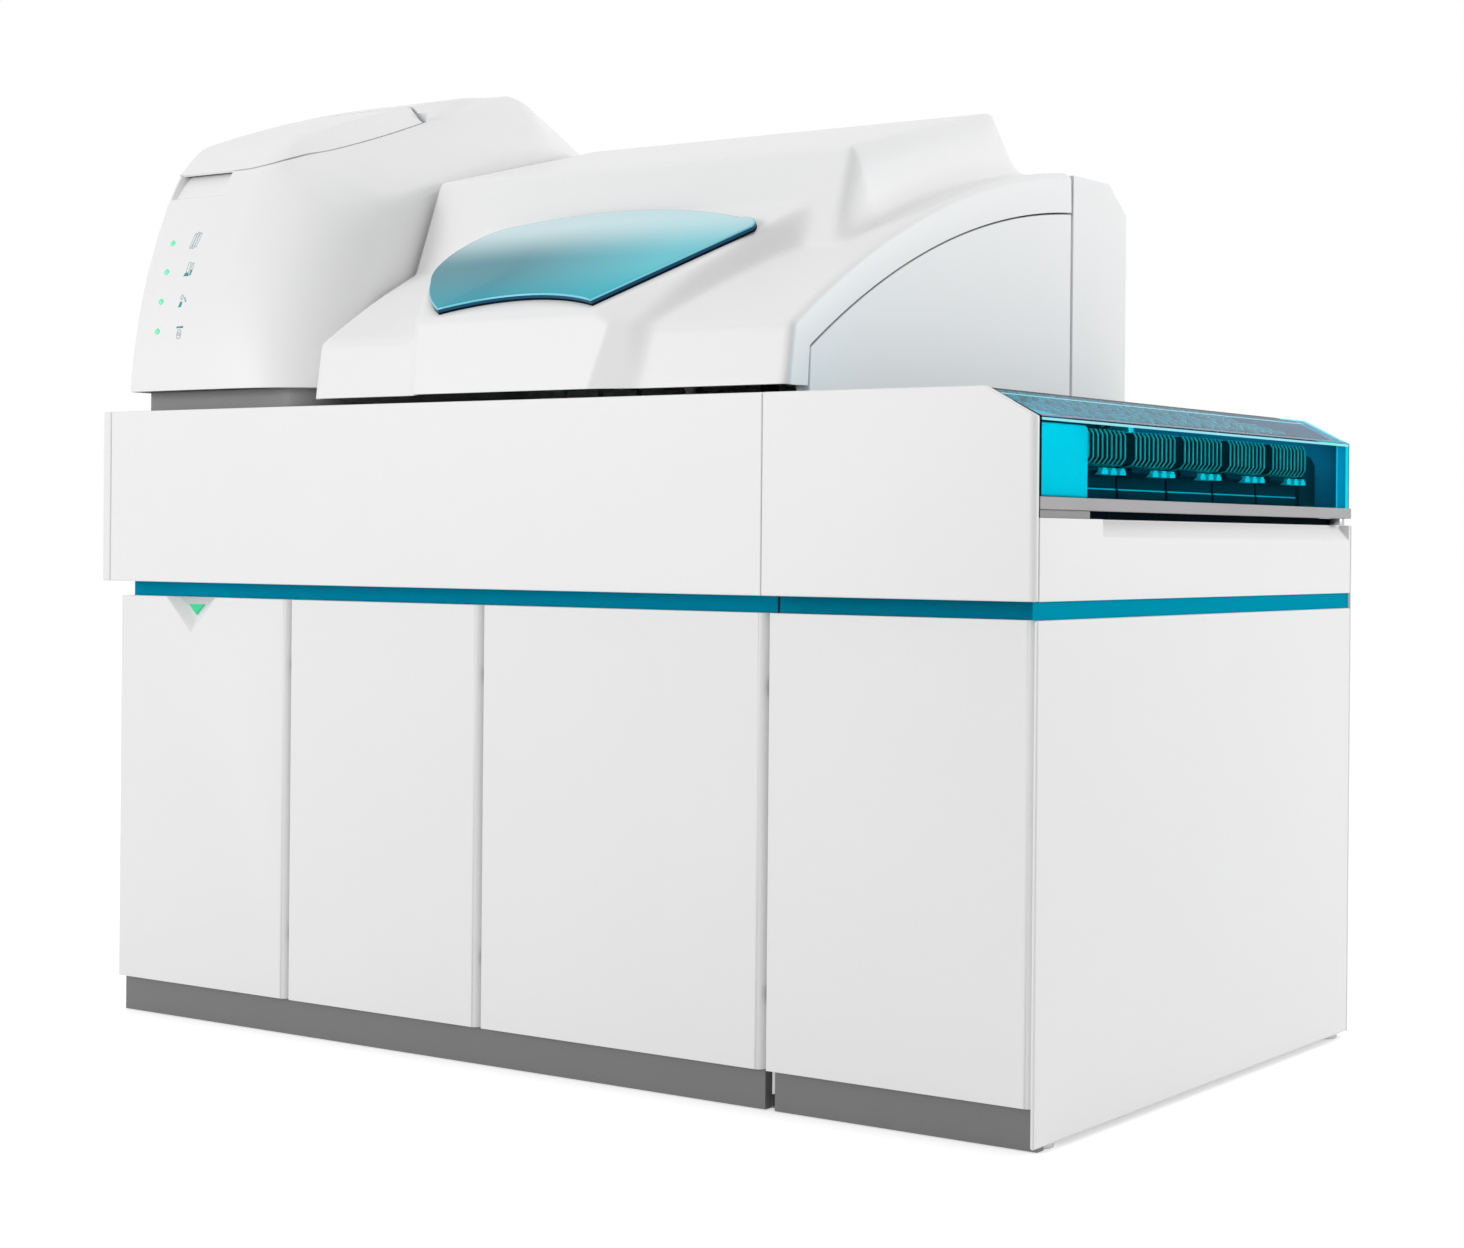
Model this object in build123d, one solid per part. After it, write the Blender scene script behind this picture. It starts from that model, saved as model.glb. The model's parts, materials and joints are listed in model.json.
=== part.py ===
from build123d import *
from math import atan2, cos, pi, sin, tan
import os

# Floor-standing automatic analyzer: a cabinet of two modules on levelling feet, a loader for
# sample racks at the right end, a hood over the process deck and a feeder tower at the left.
# Millimetres.  +X runs to the right, +Y to the back, +Z up.  The origin is on the floor, at the
# middle of the outline.  Heights marked "over the deck rim" start at the top edge of the fascias.

# ---------------------------------------------------------------- driving dimensions: cabinet
WIDTH = 1524.0
DEPTH = 922.0
FLOOR_GAP = 8.0             # side panels clear the floor
PLINTH_HEIGHT = 51.0        # floor to the doors' lower edges
DOOR_HEIGHT = 548.0
BAND_HEIGHT = 21.0
BAND_SETBACK = 4.0          # bands behind the doors' rear faces
BAND_PLATE = 3.0
FASCIA_HEIGHT = 243.0
FASCIA_CORNER = 8.0         # rounded front edge at the right end
LOADER_WIDTH = 370.0        # right-hand module
END_PANEL = 16.0            # left end plate beside the long fascia
LOWER_INSET = 26.0          # lower cabinet stands back from the left end
SIDE_PANEL = 5.0
SIDE_SETBACK = 9.0          # right side panel behind the front
SHEET = 1.5                 # folded sheet steel
REAR_PANEL = 3.0
SEAM = 2.0                  # gap between neighbouring fixed covers
LEFT_SETBACK = 2.0          # long fascia behind the loader's fascia

DOOR_SETBACK = 17.0
DOOR_THICKNESS = 20.0
DOOR_GAP = 6.0
DOOR_1_WIDTH = 333.0
DOOR_2_WIDTH = 339.0
GRIP_RADIUS = 13.0          # rounded opening edge of each door
PIVOT_INSET = 10.0          # hinge axis from a door's left edge and from its face
HINGE_DROP = 90.0           # hinges from the ends of a door
HINGE_NOTCH = 0.3           # notch in the left wall, past its sheet
CATCH = 16.0                # width of a catch; it is half as high again
CATCH_INSET = 27.0          # catch from a door's right edge
CATCH_GAP = 0.5
PULL_WIDTH = 104.0          # V-shaped pull at the top of the first door
PULL_DEPTH = 52.0
PULL_FLANK = 16.0           # width of the pull's sloping flanks
PULL_RISE = 22.0            # height of the flanks at the pull's point
PULL_FLOOR = 12.0           # how far its floor lies behind the face
PULL_OFFSET = 90.0          # door's left edge to the pull
LAMP_WIDTH = 30.0
LAMP_DROP = 10.0            # lamp under the door's upper edge
LAMP_PROUD = 2.0

TUBE = 40.0                 # square frame tube
TUBE_WALL = 2.0
BODY_SETBACK = 9.0          # frame behind the doors' rear faces
PLINTH_SETBACK = 14.0
PLINTH_LIFT = 1.0           # plinth clears the floor
PLINTH_END = 7.0            # ends of the two plinths from the line between the modules
VENT_PITCH = 26.0
VENT_WIDTH = 8.0
VENT_HEIGHT = 90.0
FOOT_RADIUS = 20.0
FOOT_PAD = 12.0
FOOT_STEM = 6.0

# ---------------------------------------------------------------- mains inlet, in the rear panel
INLET_FROM_END = 120.0      # right end to the inlet's middle
INLET_Z = 330.0
INLET_WIDTH = 50.0
INLET_HEIGHT = 60.0
INLET_DEPTH = 34.0
INLET_SUNK = 0.5
SOCKET_WIDTH = 27.0
SOCKET_HEIGHT = 20.0
SOCKET_DEPTH = 18.0
BLADE_PITCH = 7.0
BLADE_OFFSET = 3.5
BLADE_THICKNESS = 2.0
BLADE_WIDTH = 5.0
BLADE_SUNK = 6.0
SWITCH_HEIGHT = 30.0
ROCKER_RADIUS = 11.0
ROCKER_WIDTH = 18.0
ROCKER_SUNK = 8.0           # rocker's axis behind the rear panel's face
ROCKER_PLAY = 1.5
ROCKER_REAR = 7.0           # flats of the rocker behind and in front of its axis
ROCKER_FACE = 6.0

# ---------------------------------------------------------------- deck, tower
DECK_DROP = 15.0            # deck surface below the deck rim
DECK = 6.0
TOWER_INSET = 38.0
TOWER_WIDTH = 346.0
TOWER_FRONT = 16.0
TOWER_BACK = 900.0
TOWER_FOOT = 29.0           # underside over the deck rim
TOWER_SHOULDER = 235.0      # full-height width, left of the shoulder
TOWER_MID = 300.0
SHOULDER_DROP = 95.0
SHOULDER_SETBACK = 58.0
MID_SETBACK, MID_DROP = 0.16, 0.4   # shares of these two at the middle station
TOWER_WALL = 4.0
TOWER_NECK_INSET = 12.0     # dark neck under the tower
LID_WIDTH = 230.0
LID_GAP = 2.5
LID_REAR_GAP = 6.0
LID_REAR = 395.0
LID_HINGE_INSET = 55.0
LID_SEAM = [(176.0, 382.0), (282.0, 420.0)]    # side seam, behind the front and over the rim
LID_SEAM_REAR = 451.0
RECESS_WIDTH = 116.0        # finger recess under the lid
RECESS_INSET = 8.0
RECESS_HEIGHT = 32.0
RECESS_DEPTH = 8.0          # behind the top of the nose
HOPPER_WALL = 3.0
HOPPER_MARGIN = 17.0
FEEDER_INSET = 20.0
HOPPER_DEPTH = 170.0
LEDS = 4
LED = 6.0
LED_FIRST = 117.0           # lowest lamp over the deck rim
LED_PITCH = 41.0
LED_INSET = 48.0
LED_SHIFT = 6.5             # each lamp stands this much further right than the one below
LED_PROUD = 10.0

# ---------------------------------------------------------------- hood
HOOD_GAP = 11.0             # hood's lower edge over the deck rim
HOOD_CLEARANCE = 10.0       # between the hood and the tower
HOOD_WALL = 4.0
HOOD_FRONT = 24.0
HOOD_BACK = 744.0
BROW_HEIGHT = 87.0          # upper edge of the front face over the deck rim
BROW_LEAN = 12.0
BODY_MARGIN = 60.0          # raised body stands in from the right side
BULGE_PROUD = 21.0
BULGE_LEFT = 200.0          # hood's left side to the bulge's front face
BULGE_WIDTH = 292.0
BULGE_LEAN = 11.0           # how far the bulge's front face leans back
BULGE_CEILING = 400.0
WINDOW_THICKNESS = 6.0
WINDOW_STANDOFF = 3.0
WINDOW_EDGE = 16.0          # glass overlaps the hole in the hood
PANEL_DROP = 57.0           # seam of the side panel under the arch, at the rear
PANEL_MIDDLE = 0.7          # share of that drop at the middle of the arch
PANEL_SETBACK = 45.0        # side panel behind the hood's front
PANEL_LEAN = 4.0
PANEL_KNEE_DROP = 27.0
ARCH_PANEL = 20.0
ARCH_GAP = 2.5
HOOD_HINGE_INSET = 120.0
HOOD_AXIS_INSET = 1.0       # hinge axis in front of the hood's rear edge
REAR_GAP = 6.0
REAR_HEIGHT = 346.0
REAR_BEVEL = 41.0
REAR_BEVEL_RUN = 56.0
REAR_WALL = 3.0

# ---------------------------------------------------------------- loader
APRON = 22.0
APRON_HEIGHT = 94.0
BAR_GAP = 9.5               # finger gap between the apron and the bar
BAR_HEIGHT = 14.5
BAR_DEPTH = 20.0
LOADER_FRONT = 12.0
COVER_WALL = 4.0
COVER_INSET = 1.5
COVER_EAVE = 35.0           # vertical drop of the cover's slope
COVER_SLOPE = 66.5          # width of the slope
COVER_BACK = 8.0
COVER_MARGIN = 12.0         # cover clears the hood's right side
COVER_AXIS_INSET = 5.0
COVER_HINGE_INSET = 90.0
END_CUT = 30.0              # end walls are cut back here, beside the hinge rail
END_FLAP = 40.0             # height of what is left of them there
RAIL_GAP = 1.0
HINGE_RAIL = 5.0
GRIP_FRONT = 165.0          # finger cut along the apron's upper edge
GRIP_END = 912.0
GRIP_DROP = 22.5
GRIP_RUN = 14.0
BED = 8.0
BED_MARGIN = 14.0
BED_SETBACK = 44.0
BED_LEG = 10.0
BLOCK_DEPTH = 128.0
TRAYS = 5
TRAY_FIRST = 154.0
TRAY_PITCH = 136.0
TRAY_GAP = 5.0
TRAY_MARGIN = 6.0
TRAY_HEIGHT = 30.0
TRAY_WALL = 3.0
RACKS_PER_TRAY = 5
RACK_PITCH = 23.7
RACK_WIDTH = 20.0
RACK_HEIGHT = 50.0
RACK_FOOT = 8.0
RACK_WALL = 2.0
RACK_LENGTH = 238.0
RACK_MARGIN = 6.0
RACK_CLEARANCE = 2.0
TUBES_PER_RACK = 10
SAMPLE_TUBE = 13.0
SAMPLE_TUBE_LENGTH = 75.0

# ---------------------------------------------------------------- process deck
CAROUSEL_RADIUS = 165.0
CAROUSEL_MARGIN = 20.0
PACKS = 18
PACK_HEIGHT = 105.0
PACK_MARGIN = 6.0           # packs clear the hub and the rim
PACK_GAP = 3.5              # half the gap between packs at the rim
PACK_CAP = 5.0
PACK_CAP_RADIUS = 11.0
HUB_RADIUS = 34.0
HUB_HEIGHT = 22.0
RING_RADIUS = 125.0
RING_MARGIN = 4.0
CUVETTES = 36
CUVETTE = 8.0
CUVETTE_HEIGHT = 30.0
CUVETTE_WALL = 1.0
WASH_RADIUS = 58.0
WELL_DEPTHS = {"carousel": 70.0, "ring": 34.0, "wash": 34.0}
WELL_GAP = 6.0              # turntable rim to the wall of its well
WELL_WALL = 4.0
BUSH_LENGTH = 30.0
BUSH_WALL = 8.0
HEAD_GAP = 6.0
HEAD_COLUMN = 16.0
HEAD_HALF = 22.0
HEAD_HEIGHT = 74.0
HEAD_THICKNESS = 18.0
NOZZLE_INSET = 16.0
NOZZLE_PITCH = 15.0
NOZZLE_LENGTH = 38.0
NOZZLE_RADIUS = 2.0
CELL_GAP = 8.0
CELL_WIDTH = 150.0
CELL_HEIGHT = 120.0
TURNTABLE = 8.0
SHAFT_RADIUS = 10.0
RUNNING = 0.05              # radial clearance of a running fit
WHEEL_Y = 500.0             # carousel and ring centres behind the front
WASH_Y = 262.0
POST_RADIUS = 13.0
SPIGOT_RADIUS = 9.0
SAMPLE_POST_Y = 335.0
REAGENT_POST_Y = 648.0
ARM_REACH = 128.0
ARM_HEIGHT = 150.0          # arm's underside over the deck rim
ARM_THICKNESS = 26.0
ARM_WIDTH = 34.0
ARM_HUB = 23.0
ARM_ROOF = 4.0              # arm over the end of its post
ARM_PLAY = 0.5
GUIDE_WALL = 8.0
GUIDE_DEPTH = 60.0
GUIDE_PROUD = 10.0
LIFT = 48.0
PROBE_RADIUS = 1.2
PROBE_LIFT = 12.0           # probe's tip over its wash cup at rest
PROBE_HOLDER = 14.0
PROBE_HOLDER_RADIUS = 4.0
WASH_CUP_HEIGHT = 52.0
WASH_CUP_RADIUS = 12.0
WASH_CUP_BORE = 7.0
RAIL = 16.0
RAIL_DEPTH = 20.0
RAIL_HEIGHT = 236.0         # gantry rail over the deck rim
RAIL_MARGIN = 14.0
RAIL_FROM_REAR = 34.0
CAR_WIDTH = 44.0
CAR_WALL = 10.0
GRIPPER_BODY = 60.0
JAW = 6.0
JAW_LENGTH = 32.0

# ---------------------------------------------------------------- inside the cabinet
ROOM = 12.0                 # space around the things that stand behind a door
WALL = 3.0                  # wall of the bin and the tanks
BIN_HEIGHT = 330.0
BIN_DEPTH = 420.0
TANK_HEIGHT = 320.0
TANK_DEPTH = 380.0
TANK_NECK = 26.0
NECK_HEIGHT = 10.0
CAP_HEIGHT = 22.0
SUPPLY_HEIGHT = 130.0
CONTROLLER_HEIGHT = 170.0
ELECTRONICS_DEPTH = 260.0
ELECTRONICS_SETBACK = 160.0
SYRINGES = 4
SYRINGE_PITCH = 46.0
SYRINGE_WIDTH = 36.0
SYRINGE_LIFT = 20.0
SYRINGE_STANDOFF = 26.0
SYRINGE_RADIUS = 8.0
SYRINGE_FOOT = 12.0
SYRINGE_PLUNGER = 38.0
SYRINGE_BARREL = 70.0

# ---------------------------------------------------------------- small hinges
KNUCKLE = 4.6
PIN = 2.5
KNUCKLE_LENGTH = 14.0
KNUCKLE_GAP = 1.0
DOOR_KNUCKLE = 8.0
DOOR_PIN = 4.0
AXIS_DROP = 5.2             # hinge axis below the surface that it serves
NOTCH = 4.0                 # room for a fixed knuckle in the edge that it serves
LEAF_LENGTH = 36.0

CUT = 1.0                   # how far a cutting solid runs past the faces that it cuts

# ---------------------------------------------------------------- derived places
left, right = -WIDTH / 2, WIDTH / 2
front, back = -DEPTH / 2, DEPTH / 2
split = right - LOADER_WIDTH
door_bottom = PLINTH_HEIGHT
door_top = door_bottom + DOOR_HEIGHT
fascia_bottom = door_top + BAND_HEIGHT
rim = fascia_bottom + FASCIA_HEIGHT
deck_top = rim - DECK_DROP
door_face = front + DOOR_SETBACK
door_rear = door_face + DOOR_THICKNESS
body_front = door_rear + BODY_SETBACK
inner_back = back - REAR_PANEL
lower_left = left + LOWER_INSET

os.makedirs("parts", exist_ok=True)
saved = []


def save(name, shape):
    """Writes one named piece, or one group of like pieces."""
    export_step(Compound(children=list(shape.solids())), f"parts/{name}.step")
    saved.append(name)


def block(x0, x1, y0, y1, z0, z1):
    """A block given by its limits."""
    return Pos((x0 + x1) / 2, (y0 + y1) / 2, (z0 + z1) / 2) * Box(x1 - x0, y1 - y0, z1 - z0)


def side_prism(outline, x0, x1):
    """A face drawn in Y and Z, carried along X."""
    return extrude(Plane.YZ.offset(x0) * outline, x1 - x0, dir=(1, 0, 0))


def front_prism(outline, y0, y1):
    """A face drawn in X and Z, carried along Y."""
    return extrude(Plane.XZ.offset(-y0) * outline, y1 - y0, dir=(0, 1, 0))


def plan_prism(outline, z0, z1):
    """A face drawn in X and Y, carried along Z."""
    return extrude(Plane.XY.offset(z0) * outline, z1 - z0, dir=(0, 0, 1))


def polygon(*points):
    """A face inside straight sides."""
    return make_face(Polyline(*points, close=True))


def rod(x, y, z0, z1, radius):
    """An upright cylinder."""
    return Pos(x, y, (z0 + z1) / 2) * Cylinder(radius, z1 - z0)


def barrel(centre, along, length, radius):
    """A cylinder about an axis through its centre."""
    return Plane(origin=centre, z_dir=along) * Cylinder(radius, length)


def hinge(centre, along, leaf, radius, pin):
    """A pin hinge: the fixed knuckle with its pin and leaf, and the two knuckles that turn on it.

    leaf is the vector from the axis to the face that carries the fixed knuckle."""
    centre, along, leaf = Vector(*centre), Vector(*along), Vector(*leaf)
    step = along * (KNUCKLE_LENGTH + KNUCKLE_GAP)
    arm = Plane(origin=centre + leaf / 2, x_dir=leaf.normalized(), z_dir=along)
    fixed = barrel(centre, along, KNUCKLE_LENGTH, radius)
    fixed += arm * Box(leaf.length, 2 * pin, KNUCKLE_LENGTH)
    fixed += barrel(centre, along, 3 * KNUCKLE_LENGTH + 2 * KNUCKLE_GAP, pin)
    turning = [barrel(centre + step * way, along, KNUCKLE_LENGTH, radius) for way in (-1, 1)]
    return fixed, turning


def hinge_bore(centre, along, pin):
    """The bore that runs on the pin, through both turning knuckles."""
    return barrel(centre, along, 3 * KNUCKLE_LENGTH + 2 * KNUCKLE_GAP + 2 * CUT, pin + RUNNING)


# ---------------------------------------------------------------- frame and feet
upright_x = {
    "left": lower_left + SIDE_PANEL + SEAM,
    "first": lower_left + DOOR_1_WIDTH + DOOR_GAP / 2 - TUBE / 2,
    "second": lower_left + DOOR_1_WIDTH + DOOR_2_WIDTH + 1.5 * DOOR_GAP - TUBE / 2,
    "split": split - TUBE / 2,
    "right": right - SIDE_PANEL - SEAM - TUBE,
}
rear_uprights = ("left", "second", "split", "right")
frame_back = inner_back - SEAM
rear_row = frame_back - TUBE
base_rail = door_bottom + SEAM
mid_rail = fascia_bottom - TUBE
deck_rail = deck_top - DECK - TUBE
bed_bottom = fascia_bottom + APRON_HEIGHT + BAR_GAP + BAR_HEIGHT - BED


def tube(x0, x1, y0, y1, z0, z1):
    """A square tube along the longest side of its block."""
    spans = (x1 - x0, y1 - y0, z1 - z0)
    inset = [0.0 if span == max(spans) else TUBE_WALL for span in spans]
    core = block(x0 + inset[0], x1 - inset[0], y0 + inset[1], y1 - inset[1],
                 z0 + inset[2], z1 - inset[2])
    return block(x0, x1, y0, y1, z0, z1) - core


tubes = []
for level in (base_rail, mid_rail):
    for y in (body_front, rear_row):
        tubes.append(tube(upright_x["left"], upright_x["right"] + TUBE, y, y + TUBE, level, level + TUBE))
    for place in rear_uprights:
        tubes.append(tube(upright_x[place], upright_x[place] + TUBE,
                          body_front + TUBE, rear_row, level, level + TUBE))
for y in (body_front, rear_row):
    tubes.append(tube(upright_x["left"], upright_x["split"] + TUBE, y, y + TUBE,
                      deck_rail, deck_rail + TUBE))
for place in ("left", "split"):
    tubes.append(tube(upright_x[place], upright_x[place] + TUBE,
                      body_front + TUBE, rear_row, deck_rail, deck_rail + TUBE))
for place, x in upright_x.items():
    rows = [body_front] + ([rear_row] if place in rear_uprights else [])
    for y in rows:
        tubes.append(tube(x, x + TUBE, y, y + TUBE, base_rail + TUBE, mid_rail))
        if place in ("left", "split"):
            tubes.append(tube(x, x + TUBE, y, y + TUBE, mid_rail + TUBE, deck_rail))
save("frame_tubes", Compound(children=tubes))

foot_spots = [(upright_x[place] + TUBE / 2, y + TUBE / 2)
              for place in rear_uprights for y in (body_front, rear_row)]
feet = [rod(x, y, 0, FOOT_PAD, FOOT_RADIUS) + rod(x, y, FOOT_PAD, base_rail, FOOT_STEM)
        for x, y in foot_spots]
save("levelling_feet", Compound(children=feet))

# ---------------------------------------------------------------- lower covers
panel_bottom = FLOOR_GAP
side_front = front + SIDE_SETBACK
save("side_panels", Compound(children=[
    block(lower_left, lower_left + SIDE_PANEL, body_front, inner_back, panel_bottom, fascia_bottom - SEAM),
    block(right - SIDE_PANEL, right, side_front, inner_back, panel_bottom, door_top),
    block(left, left + END_PANEL, front + LEFT_SETBACK, inner_back, fascia_bottom, rim)]))

plinth_front = door_face + PLINTH_SETBACK


def plinth(x0, x1):
    """A folded box section between the floor and the doors."""
    top = door_bottom - SEAM
    body = block(x0, x1, plinth_front, body_front, PLINTH_LIFT, top)
    return body - block(x0 + SHEET, x1 - SHEET, plinth_front + SHEET, body_front - SHEET,
                        PLINTH_LIFT + SHEET, top - SHEET)


save("plinths", Compound(children=[plinth(lower_left, split - PLINTH_END),
                                   plinth(split + PLINTH_END, right - SIDE_PANEL - SEAM)]))


def rear_panel(x0, x1, top):
    """A plate with rows of upright ventilation slots."""
    panel = block(x0, x1, inner_back, back, panel_bottom, top)
    count = int((x1 - x0) / 2 / VENT_PITCH)
    for row in (panel_bottom + 2 * VENT_HEIGHT, door_top - VENT_HEIGHT):
        for k in range(count):
            x = (x0 + x1) / 2 + (k - (count - 1) / 2) * VENT_PITCH
            panel -= block(x - VENT_WIDTH / 2, x + VENT_WIDTH / 2, inner_back - CUT, back + CUT,
                           row, row + VENT_HEIGHT)
    return panel


inlet_x = right - INLET_FROM_END
switch_z = INLET_Z + INLET_HEIGHT
inlet_top = switch_z + SWITCH_HEIGHT / 2 + SEAM
inlet_bottom = INLET_Z - INLET_HEIGHT / 2
inlet_hole = block(inlet_x - INLET_WIDTH / 2, inlet_x + INLET_WIDTH / 2, inner_back - CUT, back + CUT,
                   inlet_bottom, inlet_top)
save("rear_panels", Compound(children=[
    rear_panel(lower_left, split - SEAM / 2, deck_top),
    rear_panel(split + SEAM / 2, right, fascia_bottom + APRON_HEIGHT) - inlet_hole]))

# Mains inlet: a housing that fills the hole, with the socket below and the switch above it.
housing = block(inlet_x - INLET_WIDTH / 2 + RUNNING, inlet_x + INLET_WIDTH / 2 - RUNNING,
                inner_back - INLET_DEPTH, back - INLET_SUNK, inlet_bottom + RUNNING, inlet_top - RUNNING)
socket_y = back - SOCKET_DEPTH
housing -= block(inlet_x - SOCKET_WIDTH / 2, inlet_x + SOCKET_WIDTH / 2, socket_y, back + CUT,
                 INLET_Z - SOCKET_HEIGHT / 2, INLET_Z + SOCKET_HEIGHT / 2)
rocker_y = back - ROCKER_SUNK
housing -= block(inlet_x - ROCKER_WIDTH / 2 - ROCKER_PLAY, inlet_x + ROCKER_WIDTH / 2 + ROCKER_PLAY,
                 rocker_y - ROCKER_RADIUS - ROCKER_PLAY, back + CUT,
                 switch_z - ROCKER_RADIUS - ROCKER_PLAY, switch_z + ROCKER_RADIUS + ROCKER_PLAY)
housing += barrel((inlet_x, rocker_y, switch_z), (1, 0, 0), ROCKER_WIDTH + 2 * ROCKER_PLAY, PIN)
for x, z in ((-BLADE_PITCH, -BLADE_OFFSET), (0.0, BLADE_OFFSET), (BLADE_PITCH, -BLADE_OFFSET)):
    housing += block(inlet_x + x - BLADE_THICKNESS / 2, inlet_x + x + BLADE_THICKNESS / 2,
                     socket_y, back - BLADE_SUNK,
                     INLET_Z + z - BLADE_WIDTH / 2, INLET_Z + z + BLADE_WIDTH / 2)
save("mains_inlet", housing)
rocker = barrel((inlet_x, rocker_y, switch_z), (1, 0, 0), ROCKER_WIDTH, ROCKER_RADIUS)
rocker &= block(inlet_x - ROCKER_WIDTH, inlet_x + ROCKER_WIDTH, rocker_y - ROCKER_REAR,
                rocker_y + ROCKER_FACE, switch_z - ROCKER_RADIUS, switch_z + ROCKER_RADIUS)
save("power_switch", rocker - barrel((inlet_x, rocker_y, switch_z), (1, 0, 0), ROCKER_WIDTH + 2 * CUT,
                                     PIN + RUNNING))

# ---------------------------------------------------------------- upper covers and bands
fascia_left_x = left + END_PANEL + SEAM / 2
fascia_left_end = split - SEAM / 2


def folded_front(x0, x1, y0, y1, z0, z1):
    """A front cover folded from sheet and open at the back."""
    pan = block(x0, x1, y0, y1, z0, z1)
    return pan - block(x0 + SHEET, x1 - SHEET, y0 + SHEET, y1 + 1, z0 + SHEET, z1 - SHEET)


save("fascia_left", folded_front(fascia_left_x, fascia_left_end, front + LEFT_SETBACK, body_front,
                                 fascia_bottom, rim))

eave = rim - COVER_EAVE
right_end = [(split + SEAM / 2, fascia_bottom), (right, fascia_bottom), (right, eave),
             (right - COVER_SLOPE, rim), (split + SEAM / 2, rim)]
fascia_right_rear = front + LOADER_FRONT - SEAM
fascia_right = front_prism(polygon(*right_end), front, fascia_right_rear)
corner = fascia_right.edges().filter_by(Axis.Z).sort_by(Axis.X)[-2:].sort_by(Axis.Y)[0]
save("fascia_right", fillet(corner, FASCIA_CORNER))

band_face = door_rear + BAND_SETBACK
side_band = right - SIDE_PANEL - SEAM
save("accent_bands", Compound(children=[
    block(lower_left, split - SEAM, band_face, band_face + BAND_PLATE, door_top, fascia_bottom),
    block(split + SEAM, side_band - SEAM, band_face, band_face + BAND_PLATE, door_top, fascia_bottom),
    block(side_band, side_band + BAND_PLATE, side_front, inner_back, door_top, fascia_bottom)]))

# ---------------------------------------------------------------- doors
door_edges = []
door_x = lower_left
for width in (DOOR_1_WIDTH, DOOR_2_WIDTH):
    door_edges.append((door_x, door_x + width))
    door_x += width + DOOR_GAP
door_edges.append((door_x, split - DOOR_GAP / 2))
door_edges.append((split + DOOR_GAP / 2, right - SIDE_PANEL - SEAM))
pull_x = lower_left + PULL_OFFSET
pull_outline = [(pull_x, door_top + CUT), (pull_x + PULL_WIDTH, door_top + CUT),
                (pull_x + PULL_WIDTH / 2, door_top - PULL_DEPTH)]
hinge_heights = (door_bottom + HINGE_DROP, door_top - HINGE_DROP)
door_hinges = []


def door(x0, x1):
    """A folded door pan with a rounded opening edge; its hinges sit inside its thickness."""
    outline = polygon((x0, door_face), (x1, door_face), (x1, door_rear), (x0, door_rear))
    outer = plan_prism(outline, door_bottom, door_top)
    upright = outer.edges().filter_by(Axis.Z)
    grip = upright.filter_by_position(Axis.X, x1 - CUT, x1 + CUT).sort_by(Axis.Y)[0]
    outer = fillet(grip, GRIP_RADIUS)
    inner_outline = polygon((x0 + SHEET, door_face + SHEET), (x1 - SHEET, door_face + SHEET),
                            (x1 - SHEET, door_rear + CUT), (x0 + SHEET, door_rear + CUT))
    inner = plan_prism(inner_outline, door_bottom + SHEET, door_top - SHEET)
    inner_grip = inner.edges().filter_by(Axis.Z).filter_by_position(Axis.X, x1 - SHEET - CUT, x1)
    inner = fillet(inner_grip.sort_by(Axis.Y)[0], GRIP_RADIUS - SHEET)
    pan = outer - inner
    axis_x, axis_y = x0 + PIVOT_INSET, door_face + PIVOT_INSET
    for z in hinge_heights:
        leaf = (0, body_front - axis_y, 0)
        fixed, turning = hinge((axis_x, axis_y, z), (0, 0, 1), leaf, DOOR_KNUCKLE, DOOR_PIN)
        door_hinges.append(fixed)
        for knuckle in turning:
            box = knuckle.bounding_box()
            pan += knuckle
            pan += block(axis_x - DOOR_KNUCKLE, axis_x + DOOR_KNUCKLE, door_face + SHEET / 2, axis_y,
                         box.min.Z, box.max.Z)
        pan -= hinge_bore((axis_x, axis_y, z), (0, 0, 1), DOOR_PIN)
        reach = KNUCKLE_LENGTH / 2 + KNUCKLE_GAP
        pan -= block(x0 - CUT, x0 + SHEET + HINGE_NOTCH, door_face + 2 * SHEET, door_rear + CUT,
                     z - reach, z + reach)
    return pan


doors = [door(x0, x1) for x0, x1 in door_edges]
pull_floor_y = door_face + PULL_FLOOR
pull_body = front_prism(polygon(*pull_outline), door_face, pull_floor_y + SHEET)
pull_body &= block(left, right, front, back, 0, door_top)
pull_mouth = Plane.XZ.offset(-door_face + CUT) * polygon(*pull_outline)
inset = [(pull_x + PULL_FLANK, door_top + CUT), (pull_x + PULL_WIDTH - PULL_FLANK, door_top + CUT),
         (pull_x + PULL_WIDTH / 2, door_top - PULL_DEPTH + PULL_RISE)]
pull_end = Plane.XZ.offset(-pull_floor_y) * polygon(*inset)
pull_space = loft([pull_mouth, pull_end], ruled=True)
doors[0] = doors[0] + pull_body - pull_space
for number, shape in enumerate(doors, start=1):
    save(f"door_{number}", shape)

lamp_x = pull_x + PULL_WIDTH / 2
lamp_top = door_top - LAMP_DROP
lamp = [(lamp_x - LAMP_WIDTH / 2, lamp_top), (lamp_x + LAMP_WIDTH / 2, lamp_top),
        (lamp_x, lamp_top - LAMP_WIDTH / 2)]
save("door_lamp", front_prism(polygon(*lamp), pull_floor_y - LAMP_PROUD, pull_floor_y))

catches = []
for x0, x1 in door_edges:
    for z in hinge_heights:
        catches.append(block(x1 - CATCH_INSET - CATCH / 2, x1 - CATCH_INSET + CATCH / 2,
                             door_rear + CATCH_GAP, body_front, z - 0.75 * CATCH, z + 0.75 * CATCH))
save("door_hinges_and_catches", Compound(children=door_hinges + catches))

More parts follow.
